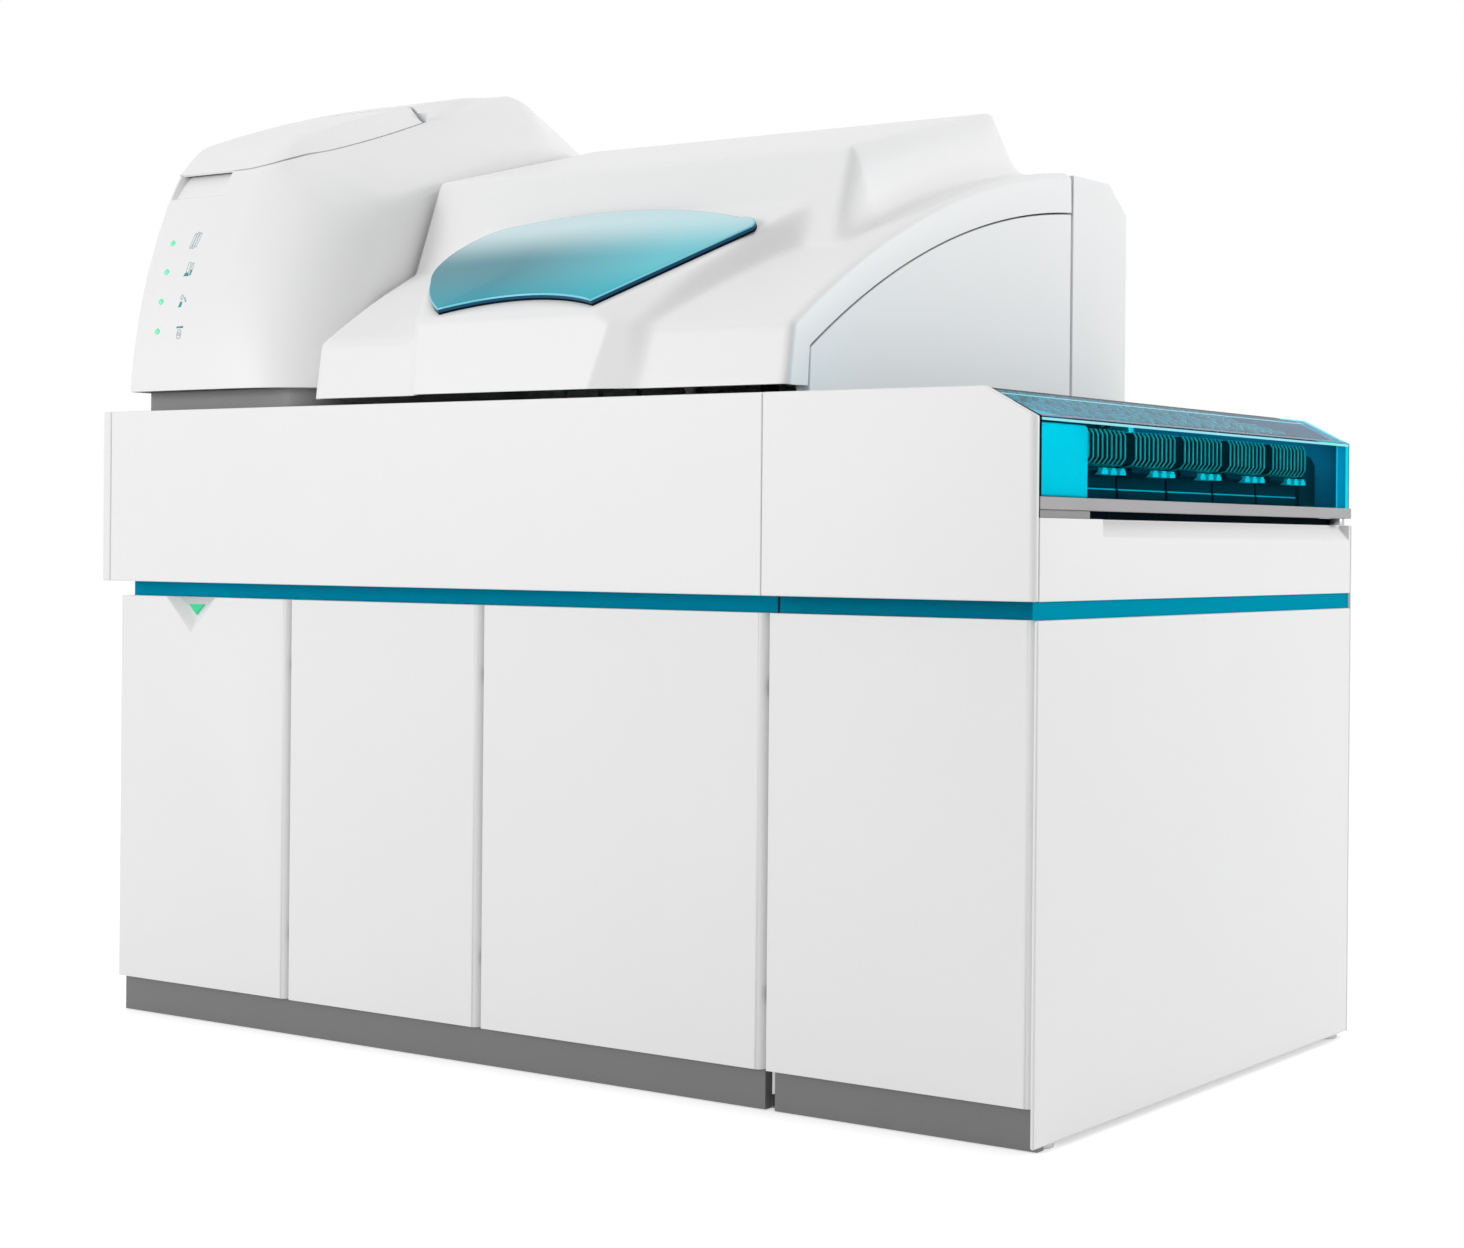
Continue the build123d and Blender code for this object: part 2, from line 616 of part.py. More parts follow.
# ---------------------------------------------------------------- deck with its wells
hood_left = left + TOWER_INSET + TOWER_WIDTH + HOOD_CLEARANCE
hood_right = split + ARCH_PANEL
wheel_y = front + WHEEL_Y
carousel_x = hood_left + HOOD_WALL + CAROUSEL_MARGIN + CAROUSEL_RADIUS
ring_x = split - TUBE / 2 - RING_MARGIN - WELL_WALL - WELL_GAP - RING_RADIUS
wash_y = front + WASH_Y
post_x = (carousel_x + CAROUSEL_RADIUS + ring_x - RING_RADIUS) / 2
posts = {"sample": (post_x, front + SAMPLE_POST_Y), "reagent": (post_x, front + REAGENT_POST_Y)}
guide_radius = POST_RADIUS + GUIDE_WALL
wells = {"carousel": (carousel_x, wheel_y, CAROUSEL_RADIUS),
         "ring": (ring_x, wheel_y, RING_RADIUS),
         "wash": (ring_x, wash_y, WASH_RADIUS)}
deck = block(left + END_PANEL + SEAM, hood_right, body_front, inner_back - SEAM, deck_top - DECK, deck_top)
for x, y, radius in wells.values():
    deck -= rod(x, y, deck_top - DECK - CUT, deck_top + CUT, radius + WELL_GAP + WELL_WALL)
for x, y in posts.values():
    deck -= rod(x, y, deck_top - DECK - CUT, deck_top + CUT, guide_radius)
save("deck_plate", deck)


def well(place):
    """A cup hung in the deck, with the bearing bush of its turntable in the floor."""
    x, y, radius = wells[place]
    outer = radius + WELL_GAP + WELL_WALL
    floor = deck_top - WELL_DEPTHS[place]
    cup = rod(x, y, floor - WELL_WALL, deck_top, outer) - rod(x, y, floor, deck_top + CUT, radius + WELL_GAP)
    cup += rod(x, y, floor - BUSH_LENGTH, floor, SHAFT_RADIUS + BUSH_WALL)
    return cup - rod(x, y, floor - BUSH_LENGTH - CUT, floor + CUT, SHAFT_RADIUS + RUNNING)


def turntable(place, thickness):
    """A disc on a shaft that runs in the well's bush."""
    x, y, radius = wells[place]
    floor = deck_top - WELL_DEPTHS[place]
    disc = rod(x, y, floor + WELL_GAP, floor + WELL_GAP + thickness, radius)
    return disc + rod(x, y, floor - BUSH_LENGTH - WELL_GAP, floor + WELL_GAP, SHAFT_RADIUS)


def table_top(place):
    """Height of a turntable's upper face."""
    return deck_top - WELL_DEPTHS[place] + WELL_GAP + TURNTABLE


save("deck_wells", Compound(children=[well(place) for place in wells]))
pack_floor = table_top("carousel")
pack_top = pack_floor + PACK_HEIGHT
save("reagent_carousel", turntable("carousel", TURNTABLE)
     + rod(carousel_x, wheel_y, pack_floor, pack_top + PACK_CAP, HUB_RADIUS))
pack_inner, pack_outer = HUB_RADIUS + PACK_MARGIN, CAROUSEL_RADIUS - PACK_MARGIN
half = pi / PACKS - atan2(PACK_GAP, pack_outer)
wedge = polygon((pack_inner * cos(half), -pack_inner * sin(half)), (pack_outer, -pack_outer * sin(half)),
                (pack_outer, pack_outer * sin(half)), (pack_inner * cos(half), pack_inner * sin(half)))
pack = plan_prism(wedge, pack_floor, pack_top)
pack += rod(pack_outer - 2 * PACK_CAP_RADIUS, 0, pack_top, pack_top + PACK_CAP, PACK_CAP_RADIUS)
save("reagent_packs", Compound(children=[
    Pos(carousel_x, wheel_y, 0) * Rot(0, 0, 360 * k / PACKS) * pack for k in range(PACKS)]))

save("incubator_ring", turntable("ring", TURNTABLE)
     + rod(ring_x, wheel_y, table_top("ring"), table_top("ring") + HUB_HEIGHT, HUB_RADIUS))
bore = CUVETTE / 2 - CUVETTE_WALL
cuvettes = []
for k in range(CUVETTES):
    cup = block(-CUVETTE / 2, CUVETTE / 2, -CUVETTE / 2, CUVETTE / 2, 0, CUVETTE_HEIGHT)
    cup -= block(-bore, bore, -bore, bore, CUVETTE_WALL, CUVETTE_HEIGHT + CUT)
    place = Pos(ring_x, wheel_y, table_top("ring")) * Rot(0, 0, 360 * k / CUVETTES)
    cuvettes.append(place * Pos(RING_RADIUS - CUVETTE, 0, 0) * cup)
save("cuvettes", Compound(children=cuvettes))
save("wash_wheel", turntable("wash", TURNTABLE)
     + rod(ring_x, wash_y, table_top("wash"), table_top("wash") + HUB_HEIGHT, HUB_RADIUS / 2))

# Wash head: a stand on the deck beside the wash wheel, with nozzles over its rim.
head_x = ring_x + WASH_RADIUS + WELL_GAP + WELL_WALL + HEAD_GAP
head_z = deck_top + HEAD_HEIGHT
nozzle_x = ring_x + WASH_RADIUS - NOZZLE_INSET
stand = block(head_x, head_x + HEAD_COLUMN, wash_y - HEAD_HALF, wash_y + HEAD_HALF, deck_top, head_z)
stand += block(nozzle_x - HEAD_HALF, head_x + HEAD_COLUMN, wash_y - HEAD_HALF, wash_y + HEAD_HALF,
               head_z, head_z + HEAD_THICKNESS)
for shift in (-NOZZLE_PITCH, 0.0, NOZZLE_PITCH):
    stand += rod(nozzle_x, wash_y + shift, head_z - NOZZLE_LENGTH, head_z, NOZZLE_RADIUS)
save("wash_head", stand)

# Measuring cell behind the incubator ring.
cell_y = wheel_y + RING_RADIUS + WELL_GAP + WELL_WALL + CELL_GAP
hood_rear = front + HOOD_BACK
save("luminometer", block(ring_x - CELL_WIDTH / 2, ring_x + CELL_WIDTH / 2, cell_y, hood_rear - 2 * CELL_GAP,
                          deck_top, deck_top + CELL_HEIGHT))

# ---------------------------------------------------------------- pipetting arms
guides, arm_cups = [], []
arm_floor = rim + ARM_HEIGHT
arm_top = arm_floor + ARM_THICKNESS
guide_foot = deck_top - DECK - GUIDE_DEPTH
cup_rim = deck_top + WASH_CUP_HEIGHT
for name, (x, y) in posts.items():
    guide = rod(x, y, guide_foot, deck_top + GUIDE_PROUD, guide_radius)
    guides.append(guide - rod(x, y, guide_foot - CUT, deck_top + GUIDE_PROUD + CUT, POST_RADIUS + RUNNING))
    post = rod(x, y, guide_foot - LIFT, arm_floor - ARM_PLAY, POST_RADIUS)
    post += rod(x, y, arm_floor - ARM_PLAY, arm_top - ARM_ROOF - ARM_PLAY, SPIGOT_RADIUS)
    save(f"{name}_arm_post", post)
    tip_x = x + (-ARM_REACH if name == "reagent" else ARM_REACH)
    arm = block(min(x, tip_x), max(x, tip_x), y - ARM_WIDTH / 2, y + ARM_WIDTH / 2, arm_floor, arm_top)
    arm += rod(x, y, arm_floor, arm_top, ARM_HUB)
    arm += rod(tip_x, y, arm_floor, arm_top, ARM_WIDTH / 2)
    arm -= rod(x, y, arm_floor - CUT, arm_top - ARM_ROOF, SPIGOT_RADIUS + RUNNING)
    probe = rod(tip_x, y, cup_rim + PROBE_LIFT, arm_floor, PROBE_RADIUS)
    probe += rod(tip_x, y, arm_floor - PROBE_HOLDER, arm_floor, PROBE_HOLDER_RADIUS)
    save(f"{name}_arm", Compound(children=[arm, probe]))
    arm_cups.append(rod(tip_x, y, deck_top, cup_rim, WASH_CUP_RADIUS)
                    - rod(tip_x, y, deck_top + DECK, cup_rim + CUT, WASH_CUP_BORE))
save("arm_guides", Compound(children=guides))
save("probe_wash_cups", Compound(children=arm_cups))

# Gantry with the cuvette gripper, along the back of the deck.
rail_y = hood_rear - RAIL_FROM_REAR
rail_z = rim + RAIL_HEIGHT
rail_left, rail_right = hood_left + HOOD_WALL + RAIL_MARGIN, ring_x - CELL_WIDTH / 2 - RAIL_MARGIN
rail = block(rail_left, rail_right, rail_y - RAIL / 2, rail_y + RAIL / 2, rail_z, rail_z + RAIL_DEPTH)
for x in (rail_left, rail_right - RAIL):
    rail += block(x, x + RAIL, rail_y - RAIL / 2, rail_y + RAIL / 2, deck_top, rail_z)
save("gantry_rail", rail)
car_x = rail_left + RAIL + SEAM
car_y = rail_y - RAIL / 2 - CAR_WALL
car = block(car_x, car_x + CAR_WIDTH, car_y, rail_y + RAIL / 2 + CAR_WALL,
            rail_z - CAR_WALL, rail_z + RAIL_DEPTH + CAR_WALL)
car -= block(car_x - CUT, car_x + CAR_WIDTH + CUT, rail_y - RAIL / 2 - RUNNING, rail_y + RAIL / 2 + RUNNING,
             rail_z - RUNNING, rail_z + RAIL_DEPTH + RUNNING)
car += block(car_x + CAR_WALL, car_x + CAR_WIDTH - CAR_WALL, car_y, rail_y + RAIL / 2,
             rail_z - GRIPPER_BODY, rail_z - CAR_WALL)
for x in (car_x + CAR_WIDTH / 2 - CUVETTE - JAW / 2, car_x + CAR_WIDTH / 2 + CUVETTE - JAW / 2):
    car += block(x, x + JAW, rail_y - JAW, rail_y, rail_z - GRIPPER_BODY - JAW_LENGTH, rail_z - GRIPPER_BODY)
save("cuvette_gripper", car)

# ---------------------------------------------------------------- feeder tower
tower_left = left + TOWER_INSET
tower_right = tower_left + TOWER_WIDTH
tower_bottom = rim + TOWER_FOOT
# Side outline, as (behind the front, over the deck rim): nose, lid edge, roof, ridge, rear.
NOSE_MID, NOSE_TOP, LID_LIP = (35.0, 158.0), (105.0, 348.0), (148.0, 395.0)
ROOF_MID, RIDGE, REAR_TOP = (319.0, 454.0), (543.0, 512.0), (TOWER_BACK, 350.0)


def tower_outline(setback, drop, wall=0.0):
    """Side outline of the tower, moved back and down; a wall also moves its lower edge."""
    def at(point, move=1.0):
        return (front + point[0] + (setback + wall) * move, rim + point[1] - drop - wall)
    floor = tower_bottom - (CUT if wall else 0)
    foot = (front + TOWER_FRONT + setback + wall, floor)
    back_y = front + TOWER_BACK - wall
    heel = (back_y, floor)
    top_back = (back_y, rim + REAR_TOP[1] - drop - wall)
    lip = [ThreePointArc(foot, at(NOSE_MID), at(NOSE_TOP)), Line(at(NOSE_TOP), at(LID_LIP)),
           ThreePointArc(at(LID_LIP), at(ROOF_MID, 0.5), at(RIDGE, 0)),
           Line(at(RIDGE, 0), top_back), Line(top_back, heel), Line(heel, foot)]
    return make_face(Curve() + lip)


def tower_form(wall=0.0):
    """The tower's body: full height at the left, falling over a shoulder at the right."""
    stations = [(tower_left + wall, 0.0, 0.0), (tower_left + TOWER_SHOULDER, 0.0, 0.0),
                (tower_left + TOWER_MID, MID_SETBACK, MID_DROP), (tower_right - wall, 1.0, 1.0)]
    form = None
    for (x0, back0, drop0), (x1, back1, drop1) in zip(stations, stations[1:]):
        faces = [Plane.YZ.offset(x) * tower_outline(b * SHOULDER_SETBACK, d * SHOULDER_DROP, wall)
                 for x, b, d in ((x0, back0, drop0), (x1, back1, drop1))]
        piece = loft(faces, ruled=True)
        form = piece if form is None else form + piece
    return form


tower_outer, tower_inner = tower_form(), tower_form(TOWER_WALL)
lid_right = tower_left + LID_WIDTH
seam_front = rim + NOSE_TOP[1] + LID_GAP


def lid_region(gap, rear_gap):
    """The space of the lid, shrunk by a gap on the sides where it meets the tower."""
    rear = front + LID_REAR - rear_gap
    points = [(front - TOWER_WALL, seam_front + gap), (front + NOSE_TOP[0] + TOWER_WALL, seam_front + gap)]
    points += [(front + y, rim + z + gap) for y, z in LID_SEAM]
    points += [(rear, rim + LID_SEAM_REAR + gap), (rear, rim + RIDGE[1]),
               (front - TOWER_WALL, rim + RIDGE[1])]
    return side_prism(polygon(*points), left, lid_right - gap)


shell = tower_outer - tower_inner - lid_region(0, 0)
recess_x0 = tower_left + RECESS_INSET
recess_back = front + NOSE_TOP[0] + RECESS_DEPTH
recess_floor = seam_front - RECESS_HEIGHT
pocket_outer = block(recess_x0 - TOWER_WALL, recess_x0 + RECESS_WIDTH + TOWER_WALL, front,
                     recess_back + TOWER_WALL, recess_floor - TOWER_WALL, seam_front)
pocket = block(recess_x0, recess_x0 + RECESS_WIDTH, front, recess_back, recess_floor, seam_front + CUT)
shell = shell + (pocket_outer & tower_outer) - pocket

# The lid's hinge lies just under the roof at its rear seam.
lid_axis_y = front + LID_REAR - LID_REAR_GAP - KNUCKLE
roof_rise = (RIDGE[1] - ROOF_MID[1]) / (RIDGE[0] - ROOF_MID[0])
lid_axis_z = rim + ROOF_MID[1] + (lid_axis_y - front - ROOF_MID[0]) * roof_rise - AXIS_DROP
lid = tower_outer & lid_region(LID_GAP, LID_REAR_GAP)
lid -= tower_inner & lid_region(LID_GAP + TOWER_WALL, LID_REAR_GAP + TOWER_WALL)
lid_hinges = []
for x in (tower_left + LID_HINGE_INSET, lid_right - LID_HINGE_INSET):
    centre = (x, lid_axis_y, lid_axis_z)
    leaf = (0, LID_REAR_GAP + KNUCKLE + TOWER_WALL, 0)
    fixed, turning = hinge(centre, (1, 0, 0), leaf, KNUCKLE, PIN)
    lid_hinges.append(fixed + block(x - KNUCKLE_LENGTH / 2, x + KNUCKLE_LENGTH / 2, front + LID_REAR,
                                    front + LID_REAR + TOWER_WALL, rim + LID_SEAM_REAR - LEAF_LENGTH,
                                    lid_axis_z + PIN))
    reach = KNUCKLE_LENGTH / 2 + KNUCKLE_GAP
    lid -= block(x - reach, x + reach, lid_axis_y - KNUCKLE - NOTCH, front + LID_REAR + CUT,
                 lid_axis_z - LEAF_LENGTH, lid_axis_z + LEAF_LENGTH)
    for knuckle in turning:
        lid += knuckle
    lid -= hinge_bore(centre, (1, 0, 0), PIN)
wall_behind = block(tower_left + TOWER_WALL, lid_right, front + LID_REAR, front + LID_REAR + TOWER_WALL,
                    rim + LID_SEAM_REAR - LEAF_LENGTH - TOWER_WALL, rim + RIDGE[1]) & tower_inner
for fixed in lid_hinges:
    wall_behind -= fixed
save("tower_shell", shell + wall_behind)
save("tower_lid", lid)

# Front face of the tower leans back; the status lamps stand on it in a slanting column.
lean = (NOSE_MID[0] - TOWER_FRONT) / (NOSE_MID[1] - TOWER_FOOT)
leds = []
for k in range(LEDS):
    height = LED_FIRST + k * LED_PITCH
    lamp_at = Pos(tower_left + LED_INSET + k * LED_SHIFT, front + TOWER_FRONT + (height - TOWER_FOOT) * lean,
                  rim + height)
    leds.append(lamp_at * Rot(0, 45, 0) * Box(LED, LED_PROUD, LED) - tower_outer)
save("status_lamps", Compound(children=leds))

neck_x0, neck_x1 = tower_left + TOWER_NECK_INSET, tower_right - TOWER_NECK_INSET
neck_y0, neck_y1 = body_front + CUT, front + TOWER_BACK - TOWER_NECK_INSET
neck = block(neck_x0, neck_x1, neck_y0, neck_y1, deck_top, tower_bottom)
neck_edges = neck.edges().filter_by(Axis.Z).sort_by(Axis.Y)[:2].sort_by(Axis.X)[-1]
neck = fillet(neck_edges, SHOULDER_SETBACK)
save("tower_neck", neck - block(neck_x0 + TOWER_WALL, neck_x1 - SHOULDER_SETBACK / 2,
                                neck_y0 + SHOULDER_SETBACK / 2, neck_y1 - TOWER_WALL,
                                deck_top - CUT, tower_bottom + CUT))

# Hopper for loose cuvettes under the lid, on its feeder.
hopper_x0, hopper_x1 = tower_left + HOPPER_MARGIN, lid_right - HOPPER_MARGIN
hopper_y0, hopper_y1 = recess_back + HOPPER_MARGIN, front + LID_REAR - HOPPER_MARGIN
hopper_top = seam_front - TOWER_WALL
hopper_floor = hopper_top - HOPPER_DEPTH
hopper = block(hopper_x0, hopper_x1, hopper_y0, hopper_y1, hopper_floor, hopper_top)
hopper -= block(hopper_x0 + HOPPER_WALL, hopper_x1 - HOPPER_WALL, hopper_y0 + HOPPER_WALL,
                hopper_y1 - HOPPER_WALL, hopper_floor + HOPPER_WALL, hopper_top + CUT)
save("cuvette_hopper", hopper)
save("cuvette_feeder", block(hopper_x0 + FEEDER_INSET, hopper_x1 - FEEDER_INSET, hopper_y0 + FEEDER_INSET,
                             hopper_y1 - FEEDER_INSET, deck_top, hopper_floor))

# ---------------------------------------------------------------- hood
# Side outlines as (behind the front, over the deck rim).
ARCH_MID, ARCH_END = (302.0, 234.0), (HOOD_BACK, 349.0)
WALL_FOOT, WALL_HEAD = (224.0, 195.0), (278.0, 335.0)
ROOF_RIDGE, ROOF_REAR = (643.0, 427.0), (702.0, 352.0)
GLASS_FOOT, GLASS_HEAD = (14.0, 111.3), (250.0, 262.6)
# Plan of the bulge: (beside the corner of its front face, behind the front).
BULGE_LEFT_EDGE = [(-82.0, 268.0), (-82.0, 145.0), (-57.0, 82.0), (-27.0, 47.0)]
BULGE_RIGHT_EDGE = [(63.0, 24.0), (141.0, 190.0), (168.0, 235.0), (168.0, 268.0)]
# The right flank falls from the platform's edge to the ledge: one point on it and its normal.
FLANK_POINT, FLANK_NORMAL = (-8.0, 18.0, 120.0), (0.321, -0.714, 0.623)
hood_bottom = rim + HOOD_GAP


def lower_outline(wall, bottom):
    """Side outline of the hood's lower body under its arch."""
    foot = (front + HOOD_FRONT + wall, bottom)
    brow = (front + HOOD_FRONT + BROW_LEAN + wall, rim + BROW_HEIGHT - wall)
    middle = (front + ARCH_MID[0] + wall / 2, rim + ARCH_MID[1] - wall)
    end = (front + ARCH_END[0] + (CUT if wall else 0), rim + ARCH_END[1] - wall)
    heel = (end[0], bottom)
    return make_face(Curve() + [Line(foot, brow), ThreePointArc(brow, middle, end), Line(end, heel),
                                Line(heel, foot)])


def upper_outline(wall, bottom):
    """Side outline of the raised body that carries the roof."""
    wall_y, rear_y = front + WALL_FOOT[0] + wall, front + ROOF_REAR[0] - wall
    return polygon((wall_y, bottom), (wall_y, rim + WALL_FOOT[1]),
                   (front + WALL_HEAD[0] + wall, rim + WALL_HEAD[1] - wall),
                   (front + ROOF_RIDGE[0], rim + ROOF_RIDGE[1] - wall),
                   (rear_y, rim + ROOF_REAR[1] - wall), (rear_y, bottom))


bulge_x0 = hood_left + BULGE_LEFT
bulge_x1 = bulge_x0 + BULGE_WIDTH
glass_slope = atan2(GLASS_HEAD[1] - GLASS_FOOT[1], GLASS_HEAD[0] - GLASS_FOOT[0])


def bulge_form(wall, bottom):
    """The proud middle of the hood, under the sloping glass."""
    y0 = front + HOOD_FRONT - BULGE_PROUD
    corners = [(bulge_x0 + x, front + y) for x, y in BULGE_LEFT_EDGE] + [(bulge_x0, y0), (bulge_x1, y0)]
    corners += [(bulge_x1 + x, front + y) for x, y in BULGE_RIGHT_EDGE]
    plan = polygon(*corners)
    if wall:
        plan = offset(plan, -wall, kind=Kind.INTERSECTION)
    form = plan_prism(plan, bottom, rim + BULGE_CEILING)
    rear = front + BULGE_LEFT_EDGE[0][1] + 1
    rise = (rear - front - GLASS_FOOT[0]) * tan(glass_slope)
    lean = polygon((y0 + wall, bottom), (y0 + BULGE_LEAN + wall, rim + GLASS_FOOT[1] - wall),
                   (rear, rim + GLASS_FOOT[1] + rise - wall), (rear, bottom))
    form &= side_prism(lean, hood_left, hood_right)
    on_flank = Vector(bulge_x1 + FLANK_POINT[0], front + FLANK_POINT[1], rim + FLANK_POINT[2])
    flank = Plane(origin=on_flank - Vector(*FLANK_NORMAL) * wall, z_dir=FLANK_NORMAL)
    return form - flank * Pos(0, 0, BULGE_CEILING) * Box(WIDTH, WIDTH, 2 * BULGE_CEILING)


def hood_form(wall, bottom):
    """The hood as a solid: lower body, raised body and bulge."""
    form = side_prism(lower_outline(wall, bottom), hood_left + wall, hood_right - wall)
    form += side_prism(upper_outline(wall, bottom), hood_left + wall, hood_right - BODY_MARGIN - wall)
    return form + bulge_form(wall, bottom)


def panel_outline(drop):
    """The region under the seam that the side panel fills, lowered by a gap."""
    y0 = front + HOOD_FRONT + PANEL_SETBACK + drop
    foot = (y0, deck_top)
    knee = (y0 + PANEL_LEAN, rim + BROW_HEIGHT - PANEL_KNEE_DROP - drop)
    middle = (front + ARCH_MID[0] + PANEL_DROP / 2, rim + ARCH_MID[1] - PANEL_DROP * PANEL_MIDDLE - drop)
    end = (front + HOOD_BACK + (0 if drop else CUT), rim + ARCH_END[1] - PANEL_DROP - drop)
    heel = (end[0], deck_top)
    return make_face(Curve() + [Line(foot, knee), ThreePointArc(knee, middle, end), Line(end, heel),
                                Line(heel, foot)])


hood = hood_form(0, hood_bottom) - hood_form(HOOD_WALL, hood_bottom - CUT)
hood -= side_prism(panel_outline(0), hood_right - HOOD_WALL - CUT, hood_right + CUT)

glass_plane = Plane(origin=(0, front + GLASS_FOOT[0], rim + GLASS_FOOT[1]), x_dir=(1, 0, 0),
                    z_dir=(0, -sin(glass_slope), cos(glass_slope)))
# Window outline on its own slope: (beside the bulge's left corner, up the slope).
WINDOW = {"left_foot": (31.0, 8.0), "left_low": (-15.0, 50.0), "left_knee": (-44.0, 91.0),
          "left_bow": (-69.0, 159.0), "left_high": (-58.0, 210.0), "shoulder": (-35.0, 240.0),
          "brow": (0.0, 256.0), "crown": (150.0, 277.0), "tip_high": (386.0, 227.0),
          "tip": (418.0, 213.0), "tip_low": (423.0, 196.0), "right_foot": (286.0, 9.0),
          "foot_arch": (158.0, 36.0)}
at = {name: (bulge_x0 + x, s) for name, (x, s) in WINDOW.items()}
window_face = make_face(Curve() + [
    ThreePointArc(at["left_foot"], at["left_low"], at["left_knee"]),
    ThreePointArc(at["left_knee"], at["left_bow"], at["left_high"]),
    ThreePointArc(at["left_high"], at["shoulder"], at["brow"]),
    ThreePointArc(at["brow"], at["crown"], at["tip_high"]),
    ThreePointArc(at["tip_high"], at["tip"], at["tip_low"]),
    Line(at["tip_low"], at["right_foot"]),
    ThreePointArc(at["right_foot"], at["foot_arch"], at["left_foot"])])
hole_face = offset(window_face, -WINDOW_EDGE)
save("hood_window", extrude(glass_plane.offset(WINDOW_STANDOFF) * window_face, WINDOW_THICKNESS))
save("window_gasket", extrude(glass_plane * window_face, WINDOW_STANDOFF)
     - extrude(glass_plane * hole_face, WINDOW_STANDOFF))
hood -= extrude(glass_plane.offset(-6 * HOOD_WALL) * hole_face, 8 * HOOD_WALL)

hood_axis_y = hood_rear - HOOD_AXIS_INSET
hood_axis_z = rim + ARCH_END[1] - AXIS_DROP
housing_front = hood_rear + REAR_GAP
hood_hinges = []
for x in (hood_left + HOOD_HINGE_INSET, (hood_left + hood_right) / 2, hood_right - HOOD_HINGE_INSET):
    centre = (x, hood_axis_y, hood_axis_z)
    fixed, turning = hinge(centre, (1, 0, 0), (0, REAR_GAP + HOOD_AXIS_INSET, 0), KNUCKLE, PIN)
    hood_hinges.append(fixed)
    reach = KNUCKLE_LENGTH / 2 + KNUCKLE_GAP
    hood -= block(x - reach, x + reach, hood_axis_y - KNUCKLE - NOTCH, hood_rear + CUT,
                  hood_axis_z - KNUCKLE - NOTCH, hood_axis_z + AXIS_DROP + CUT)
    for knuckle in turning:
        hood += knuckle
    hood -= hinge_bore(centre, (1, 0, 0), PIN)
save("hood_shell", hood)
save("lid_and_hood_hinges", Compound(children=lid_hinges + hood_hinges))

save("arch_side_panel", side_prism(panel_outline(ARCH_GAP), hood_right - ARCH_PANEL, hood_right))

housing_top = rim + REAR_HEIGHT
housing_back = inner_back - SEAM


def rear_outline(wall, bottom):
    """Side outline of the fixed housing behind the hood, with its bevelled rear edge."""
    return polygon((housing_front + wall, bottom), (housing_front + wall, housing_top - wall),
                   (housing_back - REAR_BEVEL_RUN, housing_top - wall),
                   (housing_back - wall, housing_top - REAR_BEVEL), (housing_back - wall, bottom))


rear_housing = side_prism(rear_outline(0, deck_top), hood_left, hood_right)
rear_housing -= side_prism(rear_outline(REAR_WALL, deck_top - CUT),
                           hood_left + REAR_WALL, hood_right - REAR_WALL)
save("rear_housing", rear_housing)

# ---------------------------------------------------------------- sample loader
loader_front = front + LOADER_FRONT
apron_top = fascia_bottom + APRON_HEIGHT
bar_bottom = apron_top + BAR_GAP
bar_top = bar_bottom + BAR_HEIGHT
loader_back = inner_back - SEAM
grip_cut = polygon((right + CUT, apron_top - GRIP_DROP), (right + CUT, apron_top + CUT),
                   (right - GRIP_RUN, apron_top + CUT), (right - GRIP_RUN, apron_top - CUT))
apron = block(right - APRON, right, loader_front, loader_back, fascia_bottom, apron_top)
save("loader_apron", apron - front_prism(grip_cut, front + GRIP_FRONT, front + GRIP_END))

bed_x0, bed_x1 = hood_right + BED_MARGIN, right - BED_SETBACK
bed_y0 = loader_front + BLOCK_DEPTH
save("loader_front_block", block(bed_x0, right - BAR_DEPTH - SEAM, loader_front + COVER_WALL + SEAM, bed_y0,
                                 apron_top, eave - COVER_WALL))
bed = block(bed_x0, bed_x1, bed_y0, loader_back, bed_bottom, bar_top)
for y in (bed_y0 + BED_LEG, (bed_y0 + loader_back) / 2, loader_back - BED_LEG):
    bed += block(bed_x0, bed_x1, y - BED_LEG / 2, y + BED_LEG / 2, fascia_bottom, bed_bottom)
save("loader_bed", bed)

